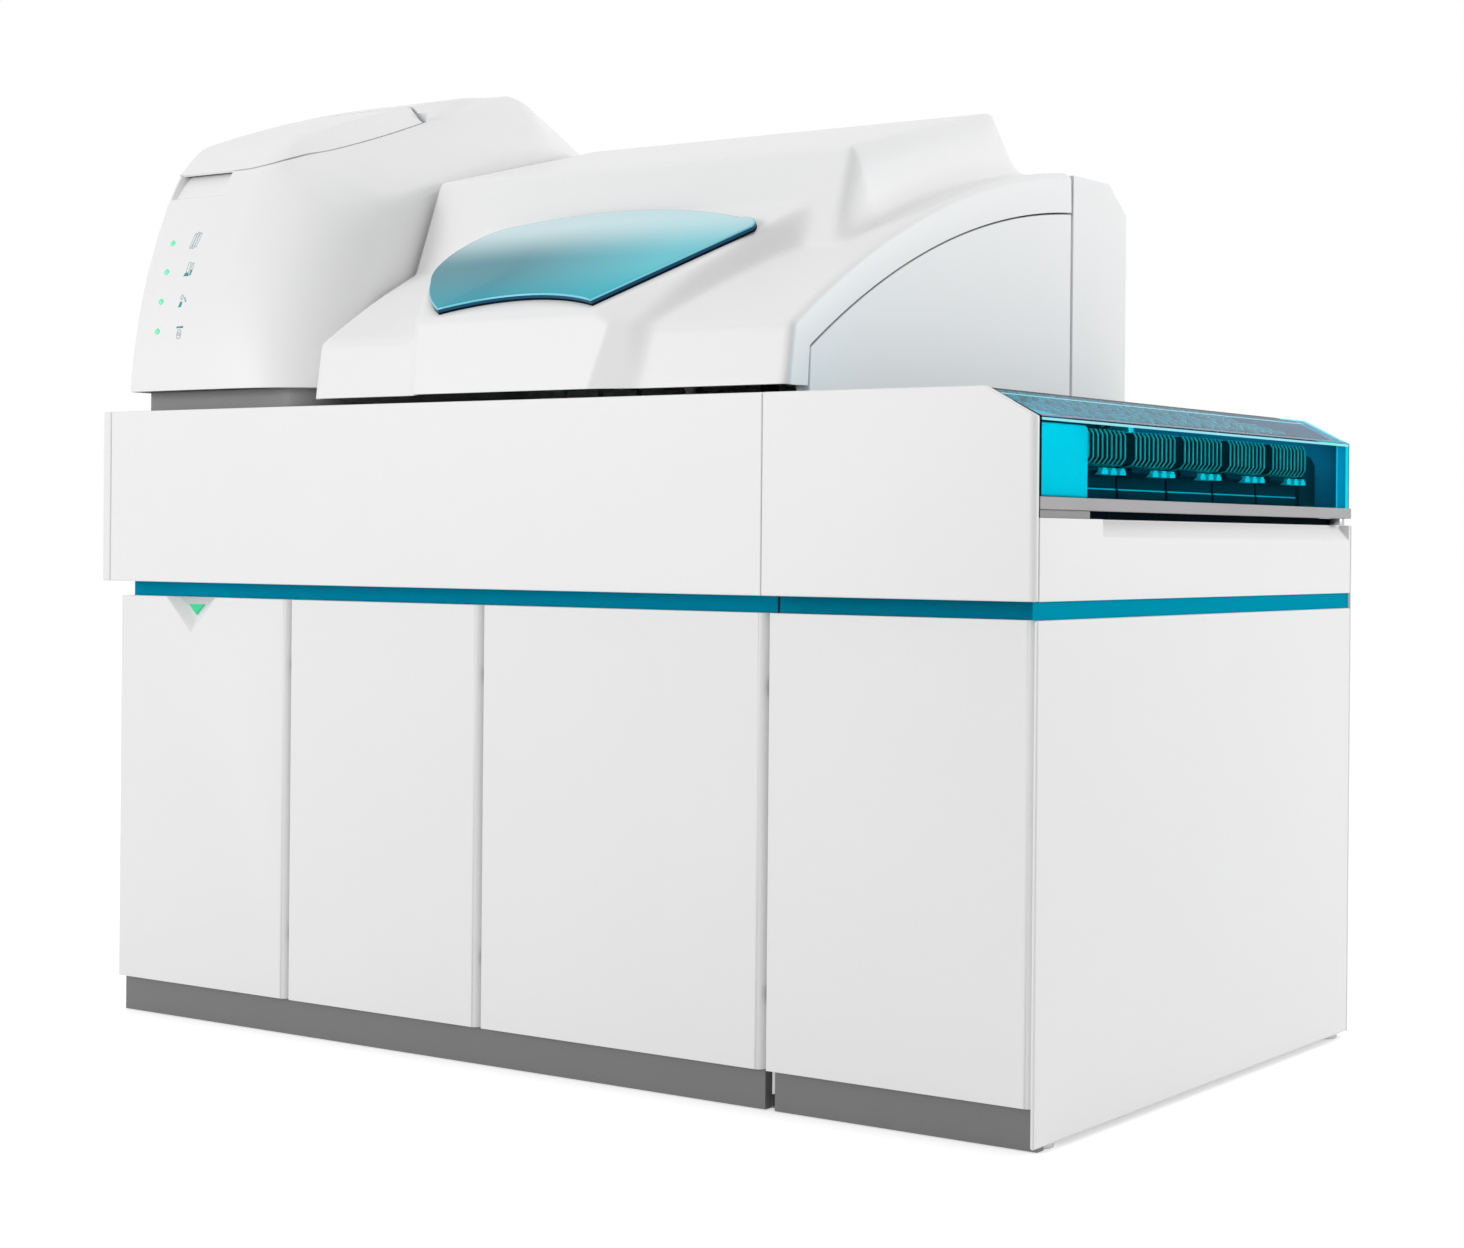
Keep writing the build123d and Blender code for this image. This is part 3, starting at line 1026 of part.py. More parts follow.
tray_x0, tray_x1 = bed_x0 + TRAY_MARGIN, bed_x1 - SEAM
rack_x1 = tray_x1 - TRAY_WALL - RACK_CLEARANCE
rack_x0 = rack_x1 - RACK_LENGTH
rack_floor = bar_top + TRAY_WALL
rack_top = rack_floor + RACK_HEIGHT
sample_floor = rack_floor + RACK_FOOT
tube_pitch = (RACK_LENGTH - 2 * RACK_MARGIN) / TUBES_PER_RACK
trays, racks, samples = [], [], []
for t in range(TRAYS):
    y0 = front + TRAY_FIRST + t * TRAY_PITCH
    y1 = y0 + TRAY_PITCH - TRAY_GAP
    trays.append(block(tray_x0, tray_x1, y0, y1, bar_top, bar_top + TRAY_HEIGHT)
                 - block(tray_x0 + TRAY_WALL, tray_x1 - TRAY_WALL, y0 + TRAY_WALL, y1 - TRAY_WALL,
                         rack_floor, bar_top + TRAY_HEIGHT + CUT))
    first = (y0 + y1) / 2 - (RACKS_PER_TRAY - 1) / 2 * RACK_PITCH
    for k in range(RACKS_PER_TRAY):
        y = first + k * RACK_PITCH
        channel = RACK_WIDTH / 2 - RACK_WALL
        racks.append(block(rack_x0, rack_x1, y - RACK_WIDTH / 2, y + RACK_WIDTH / 2, rack_floor, rack_top)
                     - block(rack_x0 + RACK_WALL, rack_x1 - RACK_WALL, y - channel, y + channel,
                             sample_floor, rack_top + CUT))
        for n in range(TUBES_PER_RACK):
            x = rack_x0 + RACK_MARGIN + (n + 0.5) * tube_pitch
            samples.append(rod(x, y, sample_floor, sample_floor + SAMPLE_TUBE_LENGTH, SAMPLE_TUBE / 2))
save("sample_trays", Compound(children=trays))
save("sample_racks", Compound(children=racks))
save("sample_tubes", Compound(children=samples))

# Cover: a bent acrylic sheet with end walls, hinged along its inboard edge.
cover_x0 = hood_right + COVER_MARGIN
cover_x1 = right - COVER_INSET
cover_top = rim - COVER_INSET
cover_end = back - COVER_BACK
wall_front, wall_end = loader_front + COVER_WALL, cover_end - COVER_WALL


def cover_outline(wall, bottom):
    """End outline of the cover: upright face, slope and flat top."""
    return polygon((cover_x1 - wall, bottom), (cover_x1 - wall, eave - wall / 2),
                   (cover_x1 - COVER_SLOPE - wall / 4, cover_top - wall), (cover_x0, cover_top - wall),
                   (cover_x0, bottom))


cover = front_prism(cover_outline(0, bar_top), loader_front, cover_end)
cover -= front_prism(cover_outline(COVER_WALL, bar_top - CUT), wall_front, wall_end)
cover -= block(cover_x0 - CUT, cover_x0 + END_CUT, wall_front, wall_end,
               bar_top - CUT, cover_top - COVER_WALL)
cover -= block(cover_x0 - CUT, cover_x0 + END_CUT, loader_front - CUT, cover_end + CUT,
               bar_top - CUT, cover_top - END_FLAP)
cover_axis_x = cover_x0 + COVER_AXIS_INSET
cover_axis_z = cover_top - AXIS_DROP
cover_hinges = []
rail_x = hood_right + RAIL_GAP
for y in (loader_front + COVER_HINGE_INSET, (loader_front + cover_end) / 2, cover_end - COVER_HINGE_INSET):
    centre = (cover_axis_x, y, cover_axis_z)
    fixed, turning = hinge(centre, (0, 1, 0), (rail_x + HINGE_RAIL - cover_axis_x, 0, 0), KNUCKLE, PIN)
    cover_hinges.append(fixed)
    reach = KNUCKLE_LENGTH / 2 + KNUCKLE_GAP
    cover -= block(cover_x0 - CUT, cover_axis_x + KNUCKLE + NOTCH, y - reach, y + reach,
                   cover_axis_z - KNUCKLE - NOTCH, cover_top + CUT)
    for knuckle in turning:
        cover += knuckle
    cover -= hinge_bore(centre, (0, 1, 0), PIN)
save("loader_cover", cover)
save("cover_bar", block(right - BAR_DEPTH, right, loader_front, back - SEAM, bar_bottom, bar_top))
hinge_rail = block(rail_x, rail_x + HINGE_RAIL, loader_front, loader_back, bar_bottom, cover_top - CUT)
for fixed in cover_hinges:
    hinge_rail += fixed
save("cover_hinge_rail", hinge_rail)

# ---------------------------------------------------------------- inside the cabinet
floor_top = base_rail + TUBE + SHEET
inside_front = body_front + TUBE + ROOM
floor_plate = block(upright_x["left"], upright_x["right"] + TUBE, body_front + TUBE, rear_row,
                    base_rail + TUBE, floor_top)
for x in upright_x.values():
    floor_plate -= block(x - SEAM, x + TUBE + SEAM, rear_row - SEAM, rear_row + TUBE,
                         base_rail, floor_top + CUT)
    floor_plate -= block(x - SEAM, x + TUBE + SEAM, body_front, body_front + TUBE + SEAM,
                         base_rail, floor_top + CUT)
save("floor_plate", floor_plate)


def behind(number):
    """Free width behind one door, between the uprights."""
    x0, x1 = door_edges[number - 1]
    return x0 + TUBE + ROOM, x1 - TUBE / 2 - ROOM


def vessel(x0, x1, depth, height, closed):
    """A thin-walled box that stands on the floor plate, open or closed at the top."""
    lid = WALL if closed else -CUT
    outer = block(x0, x1, inside_front, inside_front + depth, floor_top, floor_top + height)
    return outer - block(x0 + WALL, x1 - WALL, inside_front + WALL, inside_front + depth - WALL,
                         floor_top + WALL, floor_top + height - lid)


save("solid_waste_bin", vessel(*behind(1), BIN_DEPTH, BIN_HEIGHT, closed=False))

# Waste tank behind the second door; wash buffer and water side by side behind the third.
x0, x1 = behind(3)
middle = (x0 + x1) / 2
fluid_tanks, caps = [], []
neck_y, neck_foot = inside_front + 3 * TANK_NECK, floor_top + TANK_HEIGHT
for x0, x1 in (behind(2), (x0, middle - ROOM / 2), (middle + ROOM / 2, x1)):
    neck_x = (x0 + x1) / 2
    fluid_tanks.append(vessel(x0, x1, TANK_DEPTH, TANK_HEIGHT, closed=True)
                       + rod(neck_x, neck_y, neck_foot, neck_foot + NECK_HEIGHT, TANK_NECK))
    caps.append(rod(neck_x, neck_y, neck_foot + NECK_HEIGHT, neck_foot + NECK_HEIGHT + CAP_HEIGHT,
                    TANK_NECK + WALL))
save("fluid_tanks", Compound(children=fluid_tanks))
save("tank_caps", Compound(children=caps))

x0, x1 = behind(4)
shelf_y = inside_front + ELECTRONICS_SETBACK
supply_top = floor_top + SUPPLY_HEIGHT
save("power_supply_and_controller", Compound(children=[
    block(x0, x1, shelf_y, shelf_y + ELECTRONICS_DEPTH, floor_top, supply_top),
    block(x0, x1, shelf_y, shelf_y + ELECTRONICS_DEPTH, supply_top, supply_top + CONTROLLER_HEIGHT)]))

# Syringe pumps: plates on the deck's front rail, each with its barrel, plunger and foot.
syringe_z = mid_rail + TUBE + SYRINGE_LIFT
syringe_y = body_front + TUBE + SYRINGE_STANDOFF
barrel_foot = syringe_z + SYRINGE_FOOT + SYRINGE_PLUNGER
syringes = []
for k in range(SYRINGES):
    x = upright_x["second"] - TUBE - SYRINGE_WIDTH / 2 - k * SYRINGE_PITCH
    pump = block(x - SYRINGE_WIDTH / 2, x + SYRINGE_WIDTH / 2, body_front + TUBE, syringe_y - SYRINGE_RADIUS,
                 syringe_z, deck_rail + TUBE)
    pump += rod(x, syringe_y, barrel_foot, barrel_foot + SYRINGE_BARREL, SYRINGE_RADIUS)
    pump += rod(x, syringe_y, syringe_z + SYRINGE_FOOT, barrel_foot, SYRINGE_RADIUS / 2)
    pump += block(x - SYRINGE_RADIUS, x + SYRINGE_RADIUS, syringe_y - SYRINGE_RADIUS,
                  syringe_y + SYRINGE_RADIUS, syringe_z, syringe_z + SYRINGE_FOOT)
    syringes.append(pump)
save("syringe_pumps", Compound(children=syringes))
print(len(saved), "nodes")
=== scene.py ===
"""Dresses the floor-standing analyzer: finishes, soft edges, lamps, racks and studio."""

import json
import logging
import math
from dataclasses import dataclass
from enum import Enum

import bmesh
import bpy
import numpy as np
from mathutils import Matrix, Vector
from mathutils.bvhtree import BVHTree


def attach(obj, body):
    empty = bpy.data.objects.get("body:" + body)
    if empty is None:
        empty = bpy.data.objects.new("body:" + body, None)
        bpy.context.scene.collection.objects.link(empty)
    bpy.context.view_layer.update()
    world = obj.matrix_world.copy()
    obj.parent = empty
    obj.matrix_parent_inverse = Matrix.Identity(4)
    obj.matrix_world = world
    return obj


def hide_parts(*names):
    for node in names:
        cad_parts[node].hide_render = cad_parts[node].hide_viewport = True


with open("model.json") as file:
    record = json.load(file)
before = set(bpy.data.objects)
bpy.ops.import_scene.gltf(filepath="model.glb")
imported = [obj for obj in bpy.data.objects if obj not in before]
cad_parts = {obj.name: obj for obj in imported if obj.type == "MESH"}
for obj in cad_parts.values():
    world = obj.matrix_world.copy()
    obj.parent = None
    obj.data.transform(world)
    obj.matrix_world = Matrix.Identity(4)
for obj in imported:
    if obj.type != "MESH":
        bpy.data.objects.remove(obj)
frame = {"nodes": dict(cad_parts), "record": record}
LOG = logging.getLogger("analyzer")
Colour = tuple[float, float, float]
Point = tuple[float, float, float]
Flat = tuple[float, float]
Line = list[Flat]
Levels = tuple[tuple[int, Point], ...]
Mesh = bmesh.types.BMesh
Obj = bpy.types.Object
Node = bpy.types.Node
Socket = bpy.types.NodeSocket
Material = bpy.types.Material


class Grain(Enum):
    """How a finish is broken up: repeats in a metre, depth in metres and spread of the roughness."""

    MOULDED = (1500.0, 0.00006, 0.05)
    POWDER = (420.0, 0.00008, 0.06)
    BRUSHED = (900.0, 0.00010, 0.10)
    SPECKLED = (1300.0, 0.00016, 0.12)
    SMOOTH = (24.0, 0.00006, 0.03)


class Axis(Enum):
    """What a prism runs along."""

    X = "x"
    Y = "y"


class Wiring:
    """Adds nodes to a node tree and joins them up."""

    def __init__(self, tree: bpy.types.NodeTree) -> None:
        """Takes the tree."""
        self.tree = tree

    def feed(self, node: Node, feeds: dict[str | int, object]) -> None:
        """Sets or links inputs of a node.

        Args:
            node: The node.
            feeds: A socket to link or a value to set, by name or number of the input.
        """
        for key, value in feeds.items():
            if isinstance(value, Socket):
                self.tree.links.new(value, node.inputs[key])
            else:
                node.inputs[key].default_value = value

    def add(self, kind: str, feeds: dict[str | int, object] | None = None, **settings: object) -> Node:
        """Adds a node.

        Args:
            kind: Node type.
            feeds: What its inputs get.
            **settings: Attributes of the node.

        Returns:
            The new node.
        """
        node = self.tree.nodes.new(kind)
        for key, value in settings.items():
            setattr(node, key, value)
        self.feed(node, feeds or {})
        return node

    def show(self, output: str, lighting: Socket, shown: Socket) -> None:
        """Ends the tree with a shader that lights and another for camera, gloss and clear sheet.

        Args:
            output: Name of the output node.
            lighting: Shader that lights.
            shown: Shader that is seen.
        """
        path = self.add("ShaderNodeLightPath").outputs
        seen = path["Is Camera Ray"]
        for other in ("Is Glossy Ray", "Is Transmission Ray"):
            seen = self.add("ShaderNodeMath", {0: seen, 1: path[other]}, operation="MAXIMUM").outputs[0]
        mix = self.add("ShaderNodeMixShader", {0: seen, 1: lighting, 2: shown})
        self.feed(self.tree.nodes[output], {"Surface": mix.outputs[0]})


class Graph(Wiring):
    """The node tree of one material."""

    def __init__(self, name: str) -> None:
        """Starts a material with a plain shader.

        Args:
            name: Name of the material.
        """
        self.material = bpy.data.materials.new(name)
        self.material.use_nodes = True
        super().__init__(self.material.node_tree)
        self.shader = self.tree.nodes["Principled BSDF"]
        self.coords = self.add("ShaderNodeTexCoord").outputs["Object"]

    def axes(self) -> bpy.types.NodeOutputs:
        """The object coordinates, one by one."""
        return self.add("ShaderNodeSeparateXYZ", {0: self.coords}).outputs

    def noise(self, scale: float, detail: float = 2.0, stretch: Point = (1, 1, 1)) -> Socket:
        """Noise over the object, with so many repeats in a metre, so many octaves and a stretch along each axis."""
        place = self.add("ShaderNodeMapping", {"Scale": stretch, "Vector": self.coords}).outputs[0]
        return self.add("ShaderNodeTexNoise", {"Scale": scale, "Detail": detail, "Vector": place}).outputs["Fac"]

    def spread(self, value: Socket, low: float, high: float, start: float = 0.3, stop: float = 0.7) -> Socket:
        """Maps a value, so that start gives low and stop gives high."""
        feeds = {"Value": value, "From Min": start, "From Max": stop, "To Min": low, "To Max": high}
        return self.add("ShaderNodeMapRange", feeds).outputs["Result"]

    def blend(self, value: Socket, first: Colour | Socket, second: Colour | Socket) -> Socket:
        """Mixes two colours by a value, which is the share of the second."""
        ends = [end if isinstance(end, Socket) else (*end, 1) for end in (first, second)]
        return self.add("ShaderNodeMix", {0: value, 6: ends[0], 7: ends[1]}, data_type="RGBA").outputs[2]

    def bump(self, height: Socket, depth: float, strength: float) -> None:
        """Gives the shader a bump from a height value, with its depth in metres."""
        node = self.add("ShaderNodeBump", {"Strength": strength, "Distance": depth, "Height": height})
        self.feed(self.shader, {"Normal": node.outputs["Normal"]})

    def made(self, feeds: dict[str, object]) -> Material:
        """The material, once its shader has its inputs."""
        self.feed(self.shader, feeds)
        return self.material


@dataclass(frozen=True)
class Finish:
    """An opaque finish with its grain."""

    name: str
    colour: Colour
    roughness: float
    grain: Grain = Grain.MOULDED
    metallic: float = 0.0
    mottle: float = 0.02
    along: Point = (1, 1, 1)
    specular: float = 0.35

    def material(self) -> Material:
        """Makes the node material of this finish.

        Returns:
            The material.
        """
        graph = Graph(self.name)
        dark = tuple(c * (1 - self.mottle * 2) for c in self.colour)
        light = tuple(min(c * (1 + self.mottle), 1.0) for c in self.colour)
        scale, depth, spread = self.grain.value
        fine = graph.noise(scale, 3.0, self.along)
        graph.bump(fine, depth, 0.5)
        return graph.made({
            "Metallic": self.metallic, "Specular IOR Level": self.specular,
            "Base Color": graph.blend(graph.noise(7.0, 4.0, self.along), dark, light),
            "Roughness": graph.spread(fine, self.roughness - spread, self.roughness + spread)})


@dataclass(frozen=True)
class BandPaintedLitSide:
    """The recessed strip round the cabinet, one blue with painted light: painted lighter where it runs along the
    lit side than along the front, which is in shade.
    """

    name: str
    front: Colour
    # side: a lighter copy of the front colour, painted light
    side: Colour
    turn: float

    def material(self) -> Material:
        """Makes the node material of the strip.

        Returns:
            The material.
        """
        graph = Graph(self.name)
        # painted light: a mask along X turns the shaded front colour into the lighter side colour at the corner
        place = graph.spread(graph.axes()["X"], 0.0, 1.0, self.turn - 0.003, self.turn)
        fine = graph.noise(500.0, 3.0)
        graph.bump(fine, 0.00004, 0.4)
        return graph.made({"Base Color": graph.blend(place, self.front, self.side), "Specular IOR Level": 0.0,
                           "Roughness": graph.spread(fine, 0.32, 0.42)})


@dataclass(frozen=True)
class Acrylic:
    """Clear sheet, tinted through."""

    name: str
    tint: Colour
    roughness: float
    ior: float = 1.45

    def material(self) -> Material:
        """Makes the node material of the sheet, with faint handling marks.

        Returns:
            The material.
        """
        graph = Graph(self.name)
        deep = tuple(c * 0.96 for c in self.tint)
        marks = graph.noise(60.0, 6.0, (1, 0.3, 1))
        return graph.made({
            "Transmission Weight": 1.0, "IOR": self.ior,
            "Base Color": graph.blend(graph.noise(5.0), deep, self.tint),
            "Roughness": graph.spread(marks, self.roughness, self.roughness + 0.04, 0.45, 0.8)})


@dataclass(frozen=True)
class GlassPaintedReflection:
    """Window glass whose colour carries a painted reflection and painted shade: it fades from a deep foot to a pale
    top, and from side to side.
    """

    name: str
    left: tuple[Colour, Colour, Colour]
    right: tuple[Colour, Colour, Colour]
    knees: Flat
    height: Flat
    across: Flat

    def material(self) -> Material:
        """Makes the node material of the window.

        Returns:
            The material.
        """
        graph = Graph(self.name)
        axes = graph.axes()
        height = graph.spread(axes["Z"], 0.0, 1.0, *self.height)
        tints = []
        # painted reflection and painted shade: the ramps grow pale towards the top and lighter to the right
        for (foot, middle, top), knee in zip((self.left, self.right), self.knees):
            ramp = graph.add("ShaderNodeValToRGB", {"Fac": height})
            ramp.color_ramp.interpolation = "EASE"
            ramp.color_ramp.elements[0].color = (*foot, 1)
            ramp.color_ramp.elements[1].color = (*top, 1)
            ramp.color_ramp.elements.new(knee).color = (*middle, 1)
            tints.append(ramp.outputs["Color"])
        across = graph.spread(axes["X"], 0.0, 1.0, *self.across)
        return graph.made({
            "Base Color": graph.blend(across, *tints), "Transmission Weight": 0.12,
            "Specular IOR Level": 0.12, "IOR": 1.45,
            "Roughness": graph.spread(graph.noise(40.0, 4.0), 0.12, 0.18)})


@dataclass(frozen=True)
class Glow:
    """Light diffuser of a lamp."""

    name: str
    colour: Colour
    strength: float

    def material(self) -> Material:
        """Makes the node material of the lamp.

        Returns:
            The material.
        """
        graph = Graph(self.name)
        core = graph.blend(graph.noise(300.0), tuple(c * 0.85 for c in self.colour), self.colour)
        return graph.made({"Base Color": core, "Emission Color": core, "Emission Strength": self.strength,
                           "Roughness": graph.spread(graph.noise(900.0), 0.2, 0.3)})


Dressing = Finish | BandPaintedLitSide | Acrylic | GlassPaintedReflection | Glow
COVER_WHITE = Finish("white_cover_plastic", (0.845, 0.845, 0.845), 0.40, mottle=0.006)
PANEL_WHITE = Finish("white_powder_coat", (0.83, 0.83, 0.83), 0.46, Grain.POWDER, mottle=0.006)
PLINTH_GREY = Finish("grey_powder_coat", (0.185, 0.185, 0.187), 0.5, Grain.POWDER)
# painted light: the neck shares the plinth's grey paint, but gets a lighter copy of it to lift the shade it stands
# in
NECK_GREY_PAINTED_LIGHT = Finish("neck_grey_painted_light", (0.26, 0.26, 0.262), 0.5, Grain.POWDER)
# painted light: the side colour is a lighter copy of the front colour
BAND_BLUE_PAINTED_LIT_SIDE = BandPaintedLitSide("blue_band_painted_lit_side", (0.0, 0.29, 0.46), (0.0, 0.31, 0.46), 0.752)
SHEET = Acrylic("tinted_sheet", (0.0, 0.78, 0.90), 0.02, 1.02)
# painted light: a second copy of the same sheet for the cover's top faces, deeper in tint and with its own
# reflection, tuned for how light falls on the top
SHEET_TOP_PAINTED_LIGHT = Acrylic("tinted_sheet_top_painted_light", (0.0, 0.80, 0.94), 0.02, 1.07)
# painted highlight: bright cyan for thin strips along the cover's edges
SHEET_PAINTED_HIGHLIGHT = Finish("sheet_painted_highlight", (0.25, 0.80, 0.90), 0.25, Grain.SMOOTH, mottle=0.01)
# painted shade: dark strips along the cover's bend and far edge
SHEET_PAINTED_SHADE = Finish("sheet_painted_shade", (0.0, 0.10, 0.22), 0.25, Grain.SMOOTH)
# painted reflection and painted shade in the window's colour
WINDOW_PAINTED_REFLECTION = GlassPaintedReflection("window_painted_reflection", ((0.01, 0.36, 0.47), (0.07, 0.29, 0.36), (0.66, 0.86, 0.90)),
                     ((0.01, 0.50, 0.62), (0.12, 0.62, 0.72), (0.60, 0.88, 0.93)),
                     knees=(0.5, 0.45), height=(0.985, 1.115), across=(-0.08, 0.16))
# used for the real rubber parts and for dark strips of painted shade in joints and gaps
SEAL_AND_PAINTED_SHADE = Finish("dark_seal_and_painted_shade", (0.006, 0.012, 0.018), 0.6, specular=0.0)
# deep blue of the glass's edge, darkened as painted shade below the window
GLASS_EDGE_AND_PAINTED_SHADE = Finish("glass_edge_and_painted_shade", (0.0, 0.075, 0.17), 0.25, Grain.SMOOTH, specular=0.2)
# painted highlight: bright cyan on the glass's rounded edge
GLASS_BEVEL_PAINTED_HIGHLIGHT = Finish("glass_bevel_painted_highlight", (0.20, 0.66, 0.76), 0.15, Grain.SMOOTH)
TUBE_PAINT = Finish("grey_frame_paint", (0.19, 0.19, 0.2), 0.5, Grain.POWDER)
STEEL = Finish("turned_steel", (0.45, 0.46, 0.47), 0.3, Grain.BRUSHED, metallic=1.0, along=(1, 1, 8))
ALUMINIUM = Finish("grained_aluminium", (0.46, 0.455, 0.46), 0.5, Grain.SPECKLED, metallic=0.25, mottle=0.05)
DARK = Finish("dark_plastic", (0.02, 0.021, 0.023), 0.45)
PALE = Finish("pale_plastic", (0.74, 0.75, 0.76), 0.45)
TANK = Finish("tank_plastic", (0.62, 0.67, 0.68), 0.5, Grain.SMOOTH)
CLEAR = Acrylic("clear_plastic", (0.80, 0.88, 0.90), 0.08)
MINT = Glow("mint_lamp", (0.14, 0.80, 0.46), 0.22)
GREEN = Glow("green_lamp", (0.0, 0.50, 0.22), 0.4)
MARK_TEAL = Finish("mark_ink", (0.03, 0.36, 0.40), 0.5, Grain.SMOOTH)
MARK_PALE = Finish("pale_mark_ink", (0.26, 0.46, 0.50), 0.5, Grain.SMOOTH)
TRAY_DARK = Finish("dark_tray_plastic", (0.012, 0.020, 0.036), 0.5, specular=0.05)
RACK_GREY = Finish("grey_rack_plastic", (0.02, 0.035, 0.045), 0.5, specular=0.1)
FIN_WHITE = Finish("white_rack_plastic", (0.80, 0.84, 0.82), 0.45)
FIN_GREY = Finish("grey_fin_plastic", (0.50, 0.52, 0.44), 0.45)
# painted shade: grey copy of the white housing for its part round and under the bar
FOOT_PAINTED_SHADE = Finish("foot_painted_shade", (0.27, 0.27, 0.27), 0.5)
TUBE_GLASS = Finish("tube_plastic", (0.32, 0.38, 0.40), 0.25, Grain.SMOOTH)
CAP_TEAL = Finish("tube_cap", (0.40, 0.56, 0.62), 0.4)
LINER_BLUE = Finish("end_liner", (0.04, 0.46, 0.68), 0.5)
END_BLUE = Finish("end_frame_blue", (0.05, 0.28, 0.44), 0.4)
SENSOR_BLUE = Finish("sensor_case", (0.02, 0.045, 0.07), 0.45)
BAR_GREY = Finish("speckled_bar", (0.37, 0.36, 0.37), 0.5, Grain.SPECKLED, mottle=0.06)
BED_DARK = Finish("dark_bed_paint", (0.02, 0.024, 0.028), 0.5, Grain.POWDER)
BY_SLOT = {"white_cover": COVER_WHITE, "white_paint": PANEL_WHITE, "grey_paint": PLINTH_GREY,
           "blue_accent": BAND_BLUE_PAINTED_LIT_SIDE, "tinted_acrylic": SHEET, "dark_rubber": SEAL_AND_PAINTED_SHADE,
           "frame_steel": TUBE_PAINT, "machined_steel": STEEL, "light_aluminium": ALUMINIUM,
           "dark_plastic": DARK, "white_plastic": PALE, "tank_plastic": TANK, "lamp_mint": MINT,
           "lamp_green": GREEN, "clear_plastic": CLEAR}
# tower_neck takes the painted-light copy of the grey paint
BY_NODE = {"tower_neck": NECK_GREY_PAINTED_LIGHT, "loader_bed": BED_DARK, "cover_hinge_rail": BED_DARK}
SOFT_EDGES = {"arch_side_panel": 0.002, "rear_housing": 0.002, "fascia_left": 0.002, "fascia_right": 0.005,
              "side_panels": 0.003, "luminometer": 0.004, "fluid_tanks": 0.010, "solid_waste_bin": 0.002,
              "wash_head": 0.0015, "reagent_packs": 0.0008, "cuvette_feeder": 0.002}
DOORS = ("door_1", "door_2", "door_3", "door_4")
DOOR_EDGE = 0.003
DOOR_FRONT = -0.4435
SMOOTH_BELOW = 35.0
SHARP_ABOVE = 30.0
FLAT_BELOW = 0.5
MERGE = 1e-5
SLIVER = 2e-6
FORWARD = (0, -1, 0)
UPWARD = (0, 0, 1)
WHITE = (1, 1, 1, 1)


def shade(obj: Obj, degrees: float) -> None:
    """Shades a piece smooth except at edges sharper than an angle."""
    obj.data.polygons.foreach_set("use_smooth", [True] * len(obj.data.polygons))
    obj.data.set_sharp_from_angle(angle=math.radians(degrees))


def to_object(name: str, mesh: Mesh) -> Obj:
    """Links a mesh into the scene as an object.

    Args:
        name: Name of the object.
        mesh: Its geometry, freed afterwards.

    Returns:
        The object.
    """
    data = bpy.data.meshes.new(name)
    mesh.to_mesh(data)
    mesh.free()
    obj = bpy.data.objects.new(name, data)
    bpy.context.scene.collection.objects.link(obj)
    return obj


def bake(obj: Obj) -> None:
    """Applies a piece's modifiers to its mesh.

    Args:
        obj: The piece.
    """
    depsgraph = bpy.context.evaluated_depsgraph_get()
    mesh = bpy.data.meshes.new_from_object(obj.evaluated_get(depsgraph))
    obj.modifiers.clear()
    obj.data = mesh


def mend(obj: Obj) -> None:
    """Takes faces without area out of a piece.

    Args:
        obj: The piece.
    """
    mesh = bmesh.new()
    mesh.from_mesh(obj.data)
    bmesh.ops.dissolve_degenerate(mesh, dist=SLIVER, edges=mesh.edges)
    mesh.to_mesh(obj.data)
    mesh.free()


def modify(obj: Obj, kind: str, **settings: object) -> None:
    """Puts a piece through a modifier.

    Args:
        obj: The piece.
        kind: Type of the modifier.
        **settings: Its settings.
    """
    modifier = obj.modifiers.new("step", kind)
    for key, value in settings.items():
        setattr(modifier, key, value)
    bake(obj)


def rounded(obj: Obj, width: float, segments: int) -> None:
    """Rounds a piece's sharp edges.

    Args:
        obj: The piece.
        width: Width of the rounding.
        segments: Faces across it.
    """
    limit = math.radians(SHARP_ABOVE)
    modify(obj, "BEVEL", width=width, segments=segments, limit_method="ANGLE", angle_limit=limit)
    shade(obj, 40.0)


def thicken(obj: Obj, wall: float) -> None:
    """Gives an open skin a wall on its inner side."""
    modify(obj, "SOLIDIFY", thickness=wall, offset=-1.0, use_rim=True)


def carve(obj: Obj, tool: Mesh) -> None:
    """Cuts a shape out of a piece.

    Args:
        obj: The piece.
        tool: The shape, freed afterwards.
    """
    other = to_object("tool", tool)
    modify(obj, "BOOLEAN", operation="DIFFERENCE", solver="EXACT", object=other)
    bpy.data.objects.remove(other)


